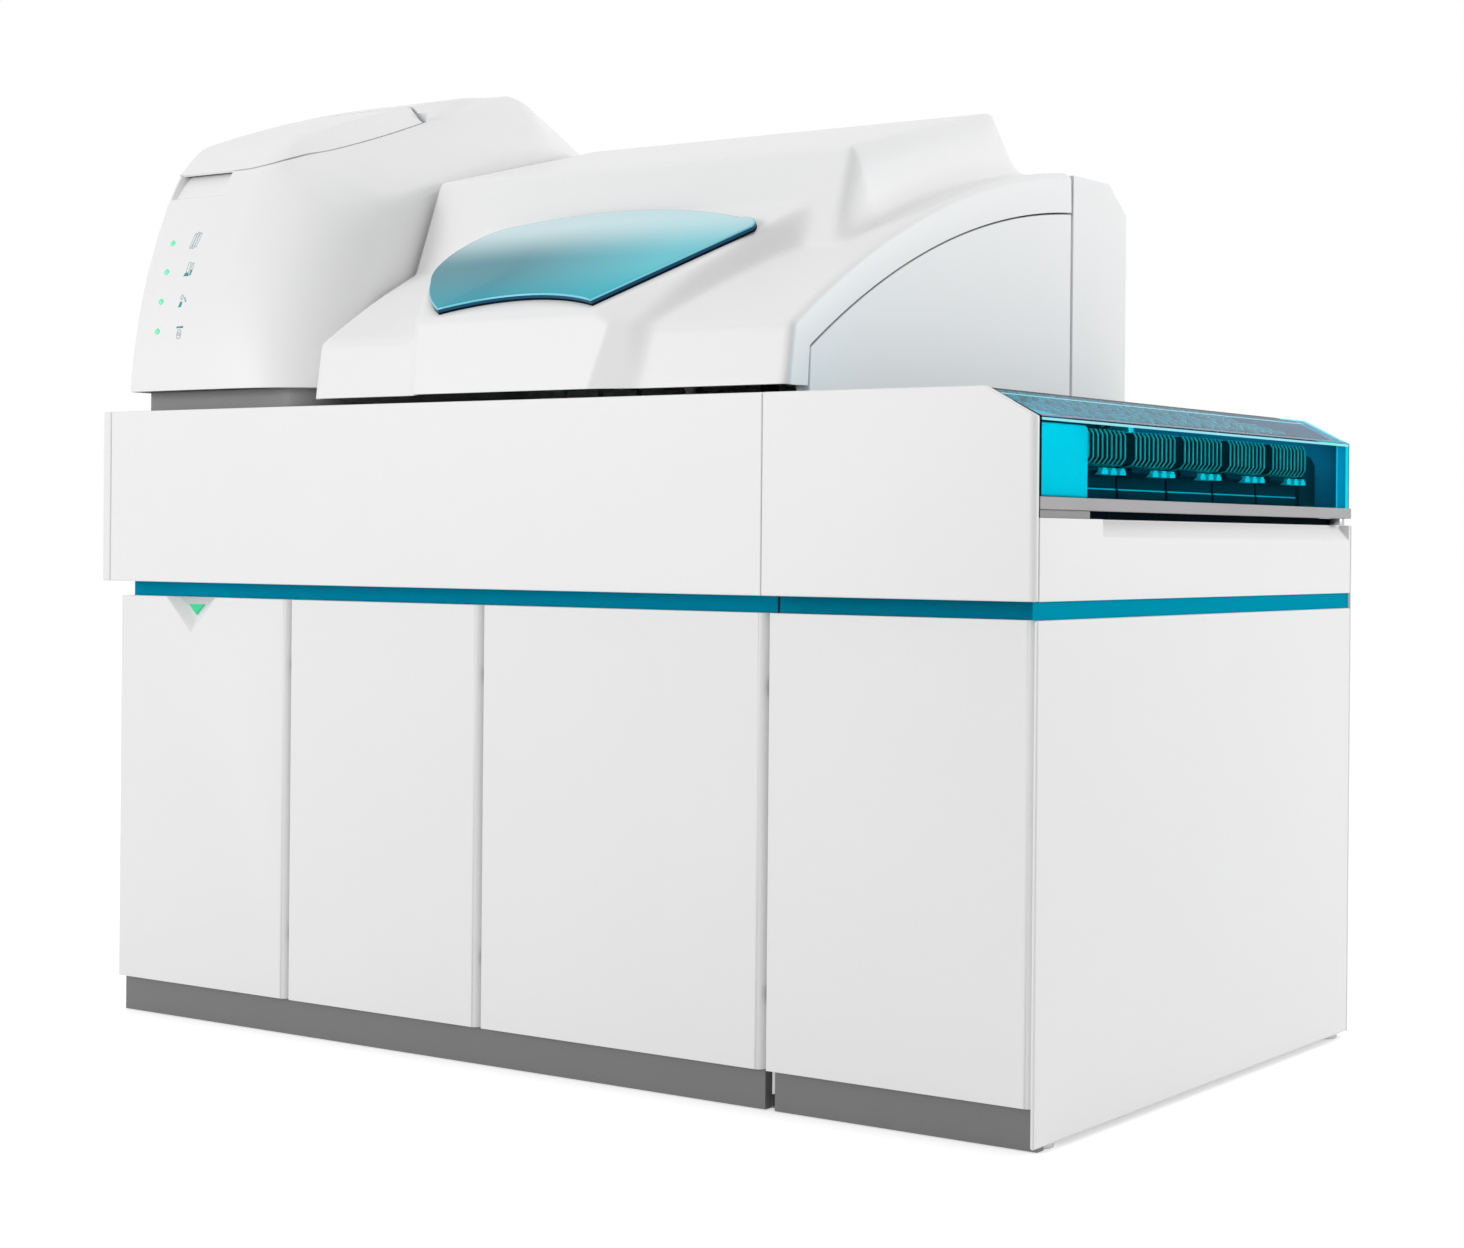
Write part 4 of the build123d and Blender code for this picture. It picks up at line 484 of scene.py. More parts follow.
class Shop:
    """Makes pieces and gives them their finish and body."""

    def __init__(self) -> None:
        """Notes what each node's slot and body are."""
        self.made: dict[str, Material] = {}
        self.slots = {s["node"]: s["material_slot"] for s in frame["record"]["subparts"]}
        groups = frame["record"]["behaviour"]["bodies"]
        self.bodies = {node: body for body, nodes in groups.items() for node in nodes}

    def material(self, finish: Dressing) -> Material:
        """The material of a finish, made once.

        Args:
            finish: The finish.

        Returns:
            Its material.
        """
        if finish.name not in self.made:
            self.made[finish.name] = finish.material()
        return self.made[finish.name]

    def dress(self) -> None:
        """Gives every carried-over node its finish."""
        for node, slot in self.slots.items():
            mesh = frame["nodes"][node].data
            mesh.materials.clear()
            mesh.materials.append(self.material(BY_NODE.get(node, BY_SLOT[slot])))

    def piece(self, name: str, mesh: Mesh, finish: Dressing, smooth: float = SMOOTH_BELOW) -> Obj:
        """Turns a mesh into a piece of the scene.

        Args:
            name: Name of the piece.
            mesh: Its geometry, freed afterwards.
            finish: Its finish.
            smooth: Edges flatter than this many degrees are shaded smooth.

        Returns:
            The new object.
        """
        obj = to_object(name, mesh)
        obj.data.materials.append(self.material(finish))
        shade(obj, smooth)
        return obj

    def settle(self, obj: Obj, node: str, replaces: bool = True) -> None:
        """Lets a piece ride and stand in as its node does.

        Args:
            obj: The piece.
            node: The node.
            replaces: Whether it stands in for the node.
        """
        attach(obj, self.bodies[node])
        if replaces:
            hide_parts(node)
        LOG.info("%s: %d faces, rides on %s", obj.name, len(obj.data.polygons), self.bodies[node])

    def fit(self, name: str, mesh: Mesh, finish: Dressing, node: str, replaces: bool = True,
            edge: float = 0.0, segments: int = 3) -> None:
        """Makes a piece and settles it.

        Args:
            name: Name of the piece.
            mesh: Its geometry, freed afterwards.
            finish: Its finish.
            node: The node it goes with.
            replaces: Whether it stands in for the node.
            edge: Width of the rounding of its sharp edges, if they are rounded.
            segments: Faces across the rounding.
        """
        obj = self.piece(name, mesh, finish)
        if edge:
            rounded(obj, edge, segments)
        self.settle(obj, node, replaces)

    def soften(self, node: str, width: float, finish: Dressing, segments: int = 3, angle: float = SHARP_ABOVE,
               ahead_of: float = math.inf) -> Obj:
        """A copy of a node with rounded edges, which stands in for it.

        Args:
            node: The node.
            width: Width of the rounding.
            finish: Its finish.
            segments: Faces across the rounding.
            angle: Edges sharper than this are rounded.
            ahead_of: Only edges in front of this Y are rounded.

        Returns:
            The new object.
        """
        mesh = cleaned(node)
        weight = mesh.edges.layers.float.new("bevel_weight_edge")
        for edge in mesh.edges:
            if all(vert.co.y < ahead_of for vert in edge.verts) and edge.calc_face_angle(0) > math.radians(angle):
                edge[weight] = 1.0
        obj = self.piece("soft_" + node, mesh, finish)
        modify(obj, "BEVEL", width=width, segments=segments, limit_method="WEIGHT", use_clamp_overlap=True,
               harden_normals=True)
        mend(obj)
        self.settle(obj, node)
        return obj


@dataclass
class Assembly:
    """A sub-assembly, whose pieces the shop dresses and places."""

    shop: Shop


def cleaned(node: str) -> Mesh:
    """A merged copy of a node's mesh with its flat faces joined up.

    Args:
        node: The node.

    Returns:
        The copy.
    """
    mesh = bmesh.new()
    mesh.from_mesh(frame["nodes"][node].data)
    bmesh.ops.remove_doubles(mesh, verts=mesh.verts, dist=MERGE)
    bmesh.ops.dissolve_limit(mesh, angle_limit=math.radians(FLAT_BELOW), verts=mesh.verts, edges=mesh.edges)
    return mesh


def three_point(start: Flat, middle: Flat, end: Flat, count: int) -> Line:
    """Points on the arc through three points.

    Args:
        start: First point.
        middle: A point on the arc.
        end: Last point.
        count: How many points.

    Returns:
        The points, ends included.
    """
    (ax, ay), (bx, by), (cx, cy) = start, middle, end
    d = 2 * (ax * (by - cy) + bx * (cy - ay) + cx * (ay - by))
    a2, b2, c2 = ax * ax + ay * ay, bx * bx + by * by, cx * cx + cy * cy
    ux = (a2 * (by - cy) + b2 * (cy - ay) + c2 * (ay - by)) / d
    uy = (a2 * (cx - bx) + b2 * (ax - cx) + c2 * (bx - ax)) / d
    radius = math.hypot(ax - ux, ay - uy)
    first, mid, last = (math.atan2(y - uy, x - ux) for x, y in (start, middle, end))
    turn = (last - first) % math.tau
    if (mid - first) % math.tau > turn:
        turn -= math.tau
    angles = [first + turn * k / (count - 1) for k in range(count)]
    return [(ux + radius * math.cos(a), uy + radius * math.sin(a)) for a in angles]


def circle(radius: float, sides: int) -> Line:
    """Points round a circle about zero."""
    angles = [math.tau * k / sides for k in range(sides)]
    return [(radius * math.cos(a), radius * math.sin(a)) for a in angles]


def moved(line: Line, dx: float, dy: float = 0.0) -> Line:
    """A line's points, each moved as far."""
    return [(x + dx, y + dy) for x, y in line]


def inset(profile: Line, depth: float) -> Line:
    """A profile moved to its right-hand side.

    Args:
        profile: Points of the profile in order.
        depth: How far each point moves.

    Returns:
        The moved points.
    """
    found = []
    for k, (y, z) in enumerate(profile):
        (y0, z0), (y1, z1) = profile[max(k - 1, 0)], profile[min(k + 1, len(profile) - 1)]
        length = math.hypot(y1 - y0, z1 - z0) or 1.0
        found.append((y + (z1 - z0) / length * depth, z - (y1 - y0) / length * depth))
    return found


def normals(outline: Line) -> Line:
    """Inward normals at the points of a closed outline.

    Args:
        outline: The outline.

    Returns:
        A unit normal for each point.
    """
    after = outline[1:] + outline[:1]
    way = math.copysign(1.0, sum(x0 * y1 - x1 * y0 for (x0, y0), (x1, y1) in zip(outline, after)))
    steps = [(x1 - x0, y1 - y0) for (x0, y0), (x1, y1) in zip(outline[-1:] + outline[:-1], after)]
    return [(-dy / math.hypot(dx, dy) * way, dx / math.hypot(dx, dy) * way) for dx, dy in steps]


def shrunk(outline: Line, depth: float) -> Line:
    """A closed outline moved inwards by a depth, without the points that would cross."""
    points = [(x + nx * depth, y + ny * depth) for (x, y), (nx, ny) in zip(outline, normals(outline))]
    return [point for point in points if min(math.dist(point, p) for p in outline) > depth * 0.93]


def inside(point: Flat, outline: Line) -> bool:
    """Whether a point lies inside an outline.

    Args:
        point: The point.
        outline: The outline.

    Returns:
        True if it does.
    """
    x, y = point
    found = False
    for (x0, y0), (x1, y1) in zip(outline, outline[1:] + outline[:1]):
        if (y0 > y) != (y1 > y) and x < x0 + (y - y0) / (y1 - y0) * (x1 - x0):
            found = not found
    return found


def along(line: Line) -> np.ndarray:
    """How far along a line each of its points lies, from 0 to 1."""
    steps = np.concatenate([[0.0], np.cumsum([math.dist(a, b) for a, b in zip(line, line[1:])])])
    return steps / steps[-1]


def resample(line: Line, wanted: np.ndarray) -> Line:
    """Points along a line, at the wanted shares of its length."""
    shares = along(line)
    return list(zip(*(np.interp(wanted, shares, values).tolist() for values in zip(*line))))


def soft(values: np.ndarray) -> np.ndarray:
    """Evens out a grid along its first axis."""
    wide = np.pad(values, 1, mode="edge")
    return (wide[:-2, 1:-1] + 2 * wide[1:-1, 1:-1] + wide[2:, 1:-1]) / 4


def skin(mesh: Mesh, columns: list[tuple[float, Line]]) -> list[list]:
    """Joins profiles at several places along X with faces.

    Args:
        mesh: The mesh to add to.
        columns: Pairs of X and profile.

    Returns:
        The rows of vertices, one list for each column.
    """
    rows = [[mesh.verts.new((x, y, z)) for y, z in profile] for x, profile in columns]
    for left, right in zip(rows, rows[1:]):
        strip(mesh, left, right)
    return rows


def strip(mesh: Mesh, left: list, right: list) -> None:
    """Joins two open rows of vertices with faces."""
    for k in range(len(left) - 1):
        mesh.faces.new((left[k], right[k], right[k + 1], left[k + 1]))


def join(mesh: Mesh, loops: list[list]) -> list:
    """Joins closed loops of as many vertices with faces, each loop to the next, and gives the faces."""
    return [mesh.faces.new(corners) for low, high in zip(loops, loops[1:])
            for corners in zip(low, low[1:] + low[:1], high[1:] + high[:1], high)]


def turn_out(mesh: Mesh, way: Point, ahead_of: float = math.inf) -> None:
    """Turns a skin's faces round if they look the wrong way.

    Args:
        mesh: The skin.
        way: Where most of its faces should look.
        ahead_of: Only faces in front of this Y are asked.
    """
    asked = [f for f in mesh.faces if f.calc_center_median().y < ahead_of]
    if sum(f.normal.dot(Vector(way)) * f.calc_area() for f in asked) < 0:
        bmesh.ops.reverse_faces(mesh, faces=mesh.faces)


def blocks(*corners: tuple[Point, Point]) -> Mesh:
    """A mesh of blocks.

    Args:
        *corners: Lowest and highest corner of each block.

    Returns:
        The mesh.
    """
    mesh = bmesh.new()
    for low, high in corners:
        made = bmesh.ops.create_cube(mesh, size=1.0)["verts"]
        bmesh.ops.scale(mesh, vec=[b - a for a, b in zip(low, high)], verts=made)
        bmesh.ops.translate(mesh, vec=[(a + b) / 2 for a, b in zip(low, high)], verts=made)
    return mesh


def prism(outline: Line, low: float, high: float, axis: Axis = Axis.Y) -> Mesh:
    """A prism.

    Args:
        outline: Its outline: (x, z) for a prism along Y, (y, z) for one along X.
        low: Where it starts.
        high: Where it ends.
        axis: The axis it runs along.

    Returns:
        The prism.
    """
    mesh = bmesh.new()
    ends = [[mesh.verts.new((a, c, b) if axis is Axis.Y else (c, a, b)) for a, b in outline] for c in (low, high)]
    mesh.faces.new(ends[0])
    mesh.faces.new(ends[1][::-1])
    join(mesh, ends[::-1])
    bmesh.ops.recalc_face_normals(mesh, faces=mesh.faces)
    return mesh


def add_turned(mesh: Mesh, centre: Flat, rings: Line, sides: int) -> list:
    """Adds a turned form with an upright axis.

    Args:
        mesh: The mesh to add to.
        centre: Its axis.
        rings: Radius and height of each ring, from the foot up.
        sides: Faces round it.

    Returns:
        Its vertices.
    """
    loops = [[mesh.verts.new((x, y, z)) for x, y in moved(circle(radius, sides), *centre)] for radius, z in rings]
    join(mesh, loops)
    mesh.faces.new(loops[0][::-1])
    mesh.faces.new(loops[-1])
    return sum(loops, [])


def ribbon(line: Line, width: float) -> list[Line]:
    """A stroke as one four-sided face for each stretch of a line.

    Args:
        line: The line.
        width: Width of the stroke.

    Returns:
        The faces' outlines.
    """
    faces = []
    for (x0, y0), (x1, y1) in zip(line, line[1:]):
        length = math.hypot(x1 - x0, y1 - y0)
        nx, ny = -(y1 - y0) / length * width / 2, (x1 - x0) / length * width / 2
        faces.append(moved([(x0, y0), (x1, y1)], nx, ny) + moved([(x1, y1), (x0, y0)], -nx, -ny))
    return faces


def capsule(x: float, y: float, width: float, height: float, lean: float = 0.0) -> Line:
    """Closed outline of a round-ended tube.

    Args:
        x: Middle across.
        y: Middle height.
        width: Width of the tube.
        height: Height over its ends.
        lean: How far the top stands to the right of the foot.

    Returns:
        The outline, its first point repeated at the end.
    """
    half = height / 2 - width / 2
    turn = [(math.cos(math.pi * k / 8) * width / 2, math.sin(math.pi * k / 8) * width / 2) for k in range(9)]
    points = [(a, half + b) for a, b in turn] + [(-a, -half - b) for a, b in turn]
    points.append(points[0])
    return [(x + a + b / height * lean, y + b) for a, b in points]


@dataclass
class Hinge:
    """The turning knuckles of pin hinges along X and the notches for their fixed ones."""

    knuckle: float = 0.0046
    pin: float = 0.00255
    length: float = 0.014
    gap: float = 0.001
    notch: float = 0.004
    swing_room: float = 0.002
    sides: int = 24

    def knuckles(self, centres: list[Point]) -> Mesh:
        """Both turning knuckles of each hinge, bored for the pin.

        Args:
            centres: Middle of each hinge.

        Returns:
            The knuckles.
        """
        mesh = bmesh.new()
        for x, y, z in centres:
            for way in (-1, 1):
                middle = x + way * (self.length + self.gap)
                (a, b), (c, d) = [[[mesh.verts.new((middle + side * self.length / 2, y + v, z + w))
                                    for v, w in circle(radius, self.sides)]
                                   for radius in (self.knuckle, self.pin)] for side in (-1, 1)]
                join(mesh, [a, c, d, b, a])
        return mesh

    def hang(self, shop: Shop, obj: Obj, node: str, name: str, centres: list[Point], clear: Flat,
             smooth: float) -> None:
        """Cuts the notches into a piece, leaving a thin skin over them, and adds its knuckles.

        Args:
            shop: The shop.
            obj: The piece.
            node: The node that the piece and its knuckles stand in for.
            name: Name of the knuckles.
            centres: Middle of each hinge.
            clear: How far the notches reach behind the axis and over it.
            smooth: Edges of the piece flatter than this many degrees are shaded smooth.
        """
        reach, low = self.length / 2 + self.gap, self.knuckle + self.notch
        carve(obj, blocks(*(((x - reach, y - low, z - low), (x + reach, y + 0.001, z + self.knuckle + 0.0001))
                            for x, y, z in centres)))
        carve(obj, blocks(*(((x - reach, y - self.swing_room, z - low), (x + reach, y + clear[0], z + clear[1]))
                            for x, y, z in centres)))
        shade(obj, smooth)
        shop.settle(obj, node)
        shop.fit(name, self.knuckles(centres), PALE, node)


@dataclass
class Hood(Assembly):
    """The hinged hood: a soft moulded shell with a raised middle and a sloping window."""

    left: float = -0.368
    right: float = 0.412
    bottom: float = 0.874
    rear: float = 0.283
    rear_top: float = 1.2115
    raised_rear: float = 0.246
    centre: Flat = (-0.080, 0.880)
    front_reach: float = 0.357
    fore: float = -0.42
    columns: int = 176
    rows: int = 250
    creases: tuple[float, ...] = (-0.160, 0.118, 0.145, 0.385)
    crowding: float = 2.4
    crowd_width: float = 0.018
    flat_column: int = 5
    smooth: float = 40.0
    softness: int = 3
    corner: float = 0.010
    wall: float = 0.004
    glass_foot: Flat = (-0.447, 0.9743)
    glass_slope: float = math.atan2(151.3, 236.0)
    glass_reach: float = 0.006
    gasket: float = 0.003
    glass: float = 0.006
    bevel: tuple[Flat, ...] = ((0.0, 0.0018), (0.0007, 0.0006), (0.0020, 0.0))
    glass_smooth: float = 50.0
    crown: float = 0.004
    crown_rings: tuple[float, ...] = (0.97, 0.92, 0.84, 0.72, 0.58, 0.42, 0.24)
    overlap: float = 0.016
    axis: Flat = (0.282, 1.2068)
    hinges: tuple[float, ...] = (-0.248, 0.022, 0.292)
    hinge_clear: Flat = (0.004, 0.012)
    panel: tuple[Flat, ...] = ((-0.392, 0.874), (-0.388, 0.923), (-0.1305, 1.0571), (0.283, 1.155))

    def on_glass(self, x: float, s: float, h: float) -> Point:
        """A point at X, so far up the window's slope and so high over its plane."""
        c, n = math.cos(self.glass_slope), math.sin(self.glass_slope)
        return x, self.glass_foot[0] + s * c - h * n, self.glass_foot[1] + s * n + h * c

    def off_glass(self, point: Vector) -> Point:
        """What on_glass takes for a point.

        Args:
            point: The point.

        Returns:
            Its X, its distance up the window's slope and its height over the plane.
        """
        c, n = math.cos(self.glass_slope), math.sin(self.glass_slope)
        y, z = point.y - self.glass_foot[0], point.z - self.glass_foot[1]
        return point.x, y * c + z * n, z * c - y * n

    def window_outline(self) -> Line:
        """Reads the window's outline from its node.

        Returns:
            The outline on the window's plane.
        """
        mesh = cleaned("hood_window")
        faces = [f for f in mesh.faces if abs(self.off_glass(f.calc_center_median())[2] - self.gasket) < 1e-4]
        face = max(faces, key=lambda f: f.calc_area())
        outline = [self.off_glass(v.co)[:2] for v in face.verts]
        mesh.free()
        return outline

    def stations(self) -> np.ndarray:
        """Sets out the columns, close together at the creases.

        Returns:
            Their places along X.
        """
        xs = np.linspace(self.left + 1e-4, self.right - 1e-4, 2000)
        crowd = 1.0 + sum(self.crowding * np.exp(-((xs - x) / self.crowd_width) ** 2) for x in self.creases)
        reach = np.concatenate([[0.0], np.cumsum((crowd[1:] + crowd[:-1]) / 2)])
        return np.interp(np.linspace(0, reach[-1], self.columns), reach, xs)

    def radii(self, xs: np.ndarray, angles: np.ndarray, window: Line) -> np.ndarray:
        """Distance of the hood's surface from its inner axis.

        Args:
            xs: Columns.
            angles: Rows, from the front over the top.
            window: Outline of the window.

        Returns:
            The distances, one row of numbers for each column.
        """
        mesh = cleaned("hood_shell")
        tree = BVHTree.FromBMesh(mesh)
        mesh.free()
        normal = Vector((0, -math.sin(self.glass_slope), math.cos(self.glass_slope)))
        foot = Vector((0, *self.glass_foot))
        ways = [Vector((0, -math.cos(angle), math.sin(angle))) for angle in angles]
        found = np.zeros((len(xs), len(angles)))
        for i, x in enumerate(xs):
            start = Vector((x, *self.centre))
            for j, way in enumerate(ways):
                if normal.dot(way) > 0.05:
                    reach = normal.dot(foot - start) / normal.dot(way)
                    if inside(self.off_glass(start + way * reach)[:2], window):
                        found[i, j] = reach
                        continue
                hit = tree.ray_cast(start + way, -way, 0.95)
                found[i, j] = 1.0 - hit[3] if hit[0] else found[i, j - 1]
        return found

    def profiles(self, xs: np.ndarray, window: Line) -> list[Line]:
        """Softened outlines of the hood from its front foot over the top to its rear.

        Args:
            xs: Columns.
            window: Outline of the window.

        Returns:
            An outline for each column.
        """
        y0, z0 = self.centre
        first = math.atan2(self.bottom + 0.0005 - z0, self.front_reach)
        last = math.pi - math.atan2(self.rear_top - z0, self.rear - 0.001 - y0)
        angles = np.linspace(first, last, self.rows)
        radii = self.radii(xs, angles, window)
        flat = radii[self.flat_column]
        rear = y0 - np.cos(angles) * flat > self.raised_rear + 0.002
        radii[:, rear] = flat[rear]
        for _ in range(self.softness):
            radii = soft(soft(radii).T).T
        found = [[(y0 - math.cos(a) * r, z0 + math.sin(a) * r) for a, r in zip(angles, row)] for row in radii]
        return [[(line[0][0], self.bottom), *line[1:-1], (self.rear, line[-1][1])] for line in found]

    def shell(self) -> None:
        """Builds the hood's shell with its knuckles."""
        window, xs = self.window_outline(), self.stations()
        lines = self.profiles(xs, window)
        turns = [math.pi / 2 * k / 5 for k in range(5, 0, -1)]
        edge = [(self.corner * (1 - math.sin(t)), self.corner * (1 - math.cos(t))) for t in turns]
        low, high = self.left + self.corner, self.right - self.corner
        mesh = bmesh.new()
        rows = skin(mesh, [*((self.left + dx, inset(lines[0], depth)) for dx, depth in edge),
                           *((x, line) for x, line in zip(xs, lines) if low <= x <= high),
                           *((self.right - dx, inset(lines[-1], depth)) for dx, depth in edge[::-1])])
        mesh.faces.new(rows[0] + [mesh.verts.new((self.left, self.rear, self.bottom))])
        self.right_wall(mesh, rows[-1])
        self.cut_window(mesh, shrunk(window, self.overlap))
        bmesh.ops.remove_doubles(mesh, verts=mesh.verts, dist=MERGE)
        turn_out(mesh, FORWARD, self.fore)
        obj = self.shop.piece("hood_cover", mesh, COVER_WHITE)
        thicken(obj, self.wall)
        centres = [(x, *self.axis) for x in self.hinges]
        Hinge().hang(self.shop, obj, "hood_shell", "hood_knuckles", centres, self.hinge_clear, self.smooth)

    def right_wall(self, mesh: Mesh, edge: list) -> None:
        """Closes the strip between the arch and the side panel.

        Args:
            mesh: The mesh to add to.
            edge: Vertices along the arch.
        """
        (y0, z0), (y1, z1), middle, end = self.panel
        inner = [(y0 + (y1 - y0) * k / 9, z0 + (z1 - z0) * k / 9) for k in range(9)]
        inner += three_point((y1, z1), middle, end, 160)
        line = resample(inner, along([v.co.yz for v in edge]))
        verts, lip = ([mesh.verts.new((x, y, z)) for y, z in line] for x in (self.right, self.right - self.wall))
        strip(mesh, edge, verts)
        strip(mesh, verts, lip)

    def cut_window(self, mesh: Mesh, hole: Line) -> None:
        """Opens the window's hole and draws its edge onto the outline.

        Args:
            mesh: The hood's skin.
            hole: Outline of the hole on the window's plane.
        """
        within = set()
        for vert in mesh.verts:
            x, s, h = self.off_glass(vert.co)
            if abs(h) < self.glass_reach and inside((x, s), hole):
                within.add(vert)
        bmesh.ops.delete(mesh, geom=[f for f in mesh.faces if within.issuperset(f.verts)], context="FACES")
        spots = [(x0 + (x1 - x0) * k / 6, y0 + (y1 - y0) * k / 6)
                 for (x0, y0), (x1, y1) in zip(hole, hole[1:] + hole[:1]) for k in range(6)]
        for vert in within:
            if vert.is_valid and vert.link_faces:
                x, s, _ = self.off_glass(vert.co)
                near = min(spots, key=lambda p: (p[0] - x) ** 2 + (p[1] - s) ** 2)
                vert.co = self.on_glass(*near, 0.0)

    def window(self) -> None:
        """Builds the crowned glass with its rounded edge, a painted highlight on the rounding and painted shade on
        its edge faces.
        """
        outline = self.window_outline()
        mx, ms = (sum(values) / len(outline) for values in zip(*outline))
        high = self.gasket + self.glass
        steps = [(0.0, self.gasket), *((depth, high - drop) for depth, drop in self.bevel)]
        rings = [[(x + nx * depth, s + ns * depth, height) for (x, s), (nx, ns) in zip(outline, normals(outline))]
                 for depth, height in steps]
        rings += [[(mx + (x - mx) * share, ms + (s - ms) * share, high + self.crown * (1 - share ** 2))
                   for x, s, _ in rings[-1]] for share in self.crown_rings]
        mesh = bmesh.new()
        loops = [[mesh.verts.new(self.on_glass(*point)) for point in ring] for ring in rings]
        # slots: top of the glass, edge faces with painted shade, rounding with painted highlight
        for slot, part in enumerate((loops[len(self.bevel):], loops[:2], loops[1:len(self.bevel) + 1])):
            for face in join(mesh, part):
                face.material_index = slot
        top = mesh.verts.new(self.on_glass(mx, ms, high + self.crown))
        for k in range(len(outline)):
            mesh.faces.new((loops[-1][k - 1], loops[-1][k], top))
        mesh.faces.new(loops[0][::-1])
        bmesh.ops.recalc_face_normals(mesh, faces=mesh.faces)
        obj = self.shop.piece("hood_glass", mesh, WINDOW_PAINTED_REFLECTION, self.glass_smooth)
        # edge faces: the glass's deep blue edge with painted shade
        obj.data.materials.append(self.shop.material(GLASS_EDGE_AND_PAINTED_SHADE))
        obj.data.materials.append(self.shop.material(GLASS_BEVEL_PAINTED_HIGHLIGHT))
        self.shop.settle(obj, "hood_window")

    def build(self) -> None:
        """Builds the hood's shell and window."""
        self.shell()
        self.window()


class Mark(Enum):
    """Pictograms beside the lamps: outlines and filled shapes, in millimetres."""

    TUBES = ([capsule(-4.6, -0.6, 4.0, 22.0, 5.0), capsule(0.4, 0.0, 4.0, 24.0, 5.0),
              capsule(5.2, 0.6, 4.0, 21.0, 5.0)], [])
    REAGENT = ([capsule(-1.0, 3.6, 5.0, 16.0, 1.5), capsule(6.0, 2.4, 3.6, 15.0, 1.5)],
               [[(-8.5, -9.0), (2.4, -9.0), (1.2, -4.2), (-5.6, -4.2)],
                [(3.4, -8.0), (6.2, -8.0), (7.2, 0.0), (4.6, 0.0)]])
    WASH = ([[(-1.6, 9.5), (1.2, 6.4), (-2.0, 2.2), (-4.8, 5.2), (-1.6, 9.5)]],
            [[(-6.4, -8.5), (-0.8, -8.5), (0.6, -0.6), (-3.8, -0.6)], [(2.4, 3.2), (5.6, 6.4), (5.0, 2.0)],
             [(5.4, -1.0), (7.6, -1.6), (7.8, 2.4), (6.2, 1.6)]])
    WASTE = ([capsule(0.0, -2.2, 8.0, 13.0, 0.5), capsule(0.0, -2.0, 4.4, 4.8)],
             [[(-6.6, 6.6), (6.6, 6.8), (6.8, 9.4), (-6.4, 9.2)]])


@dataclass(frozen=True)
class Easing:
    """A depth in millimetres that grows across the tower, from nothing to its full measure."""

    start: float
    power: float
    depth: float

    def at(self, x: float, width: float) -> float:
        """The depth at one place across the width."""
        return (max(x - self.start, 0) / (width - self.start)) ** self.power * self.depth


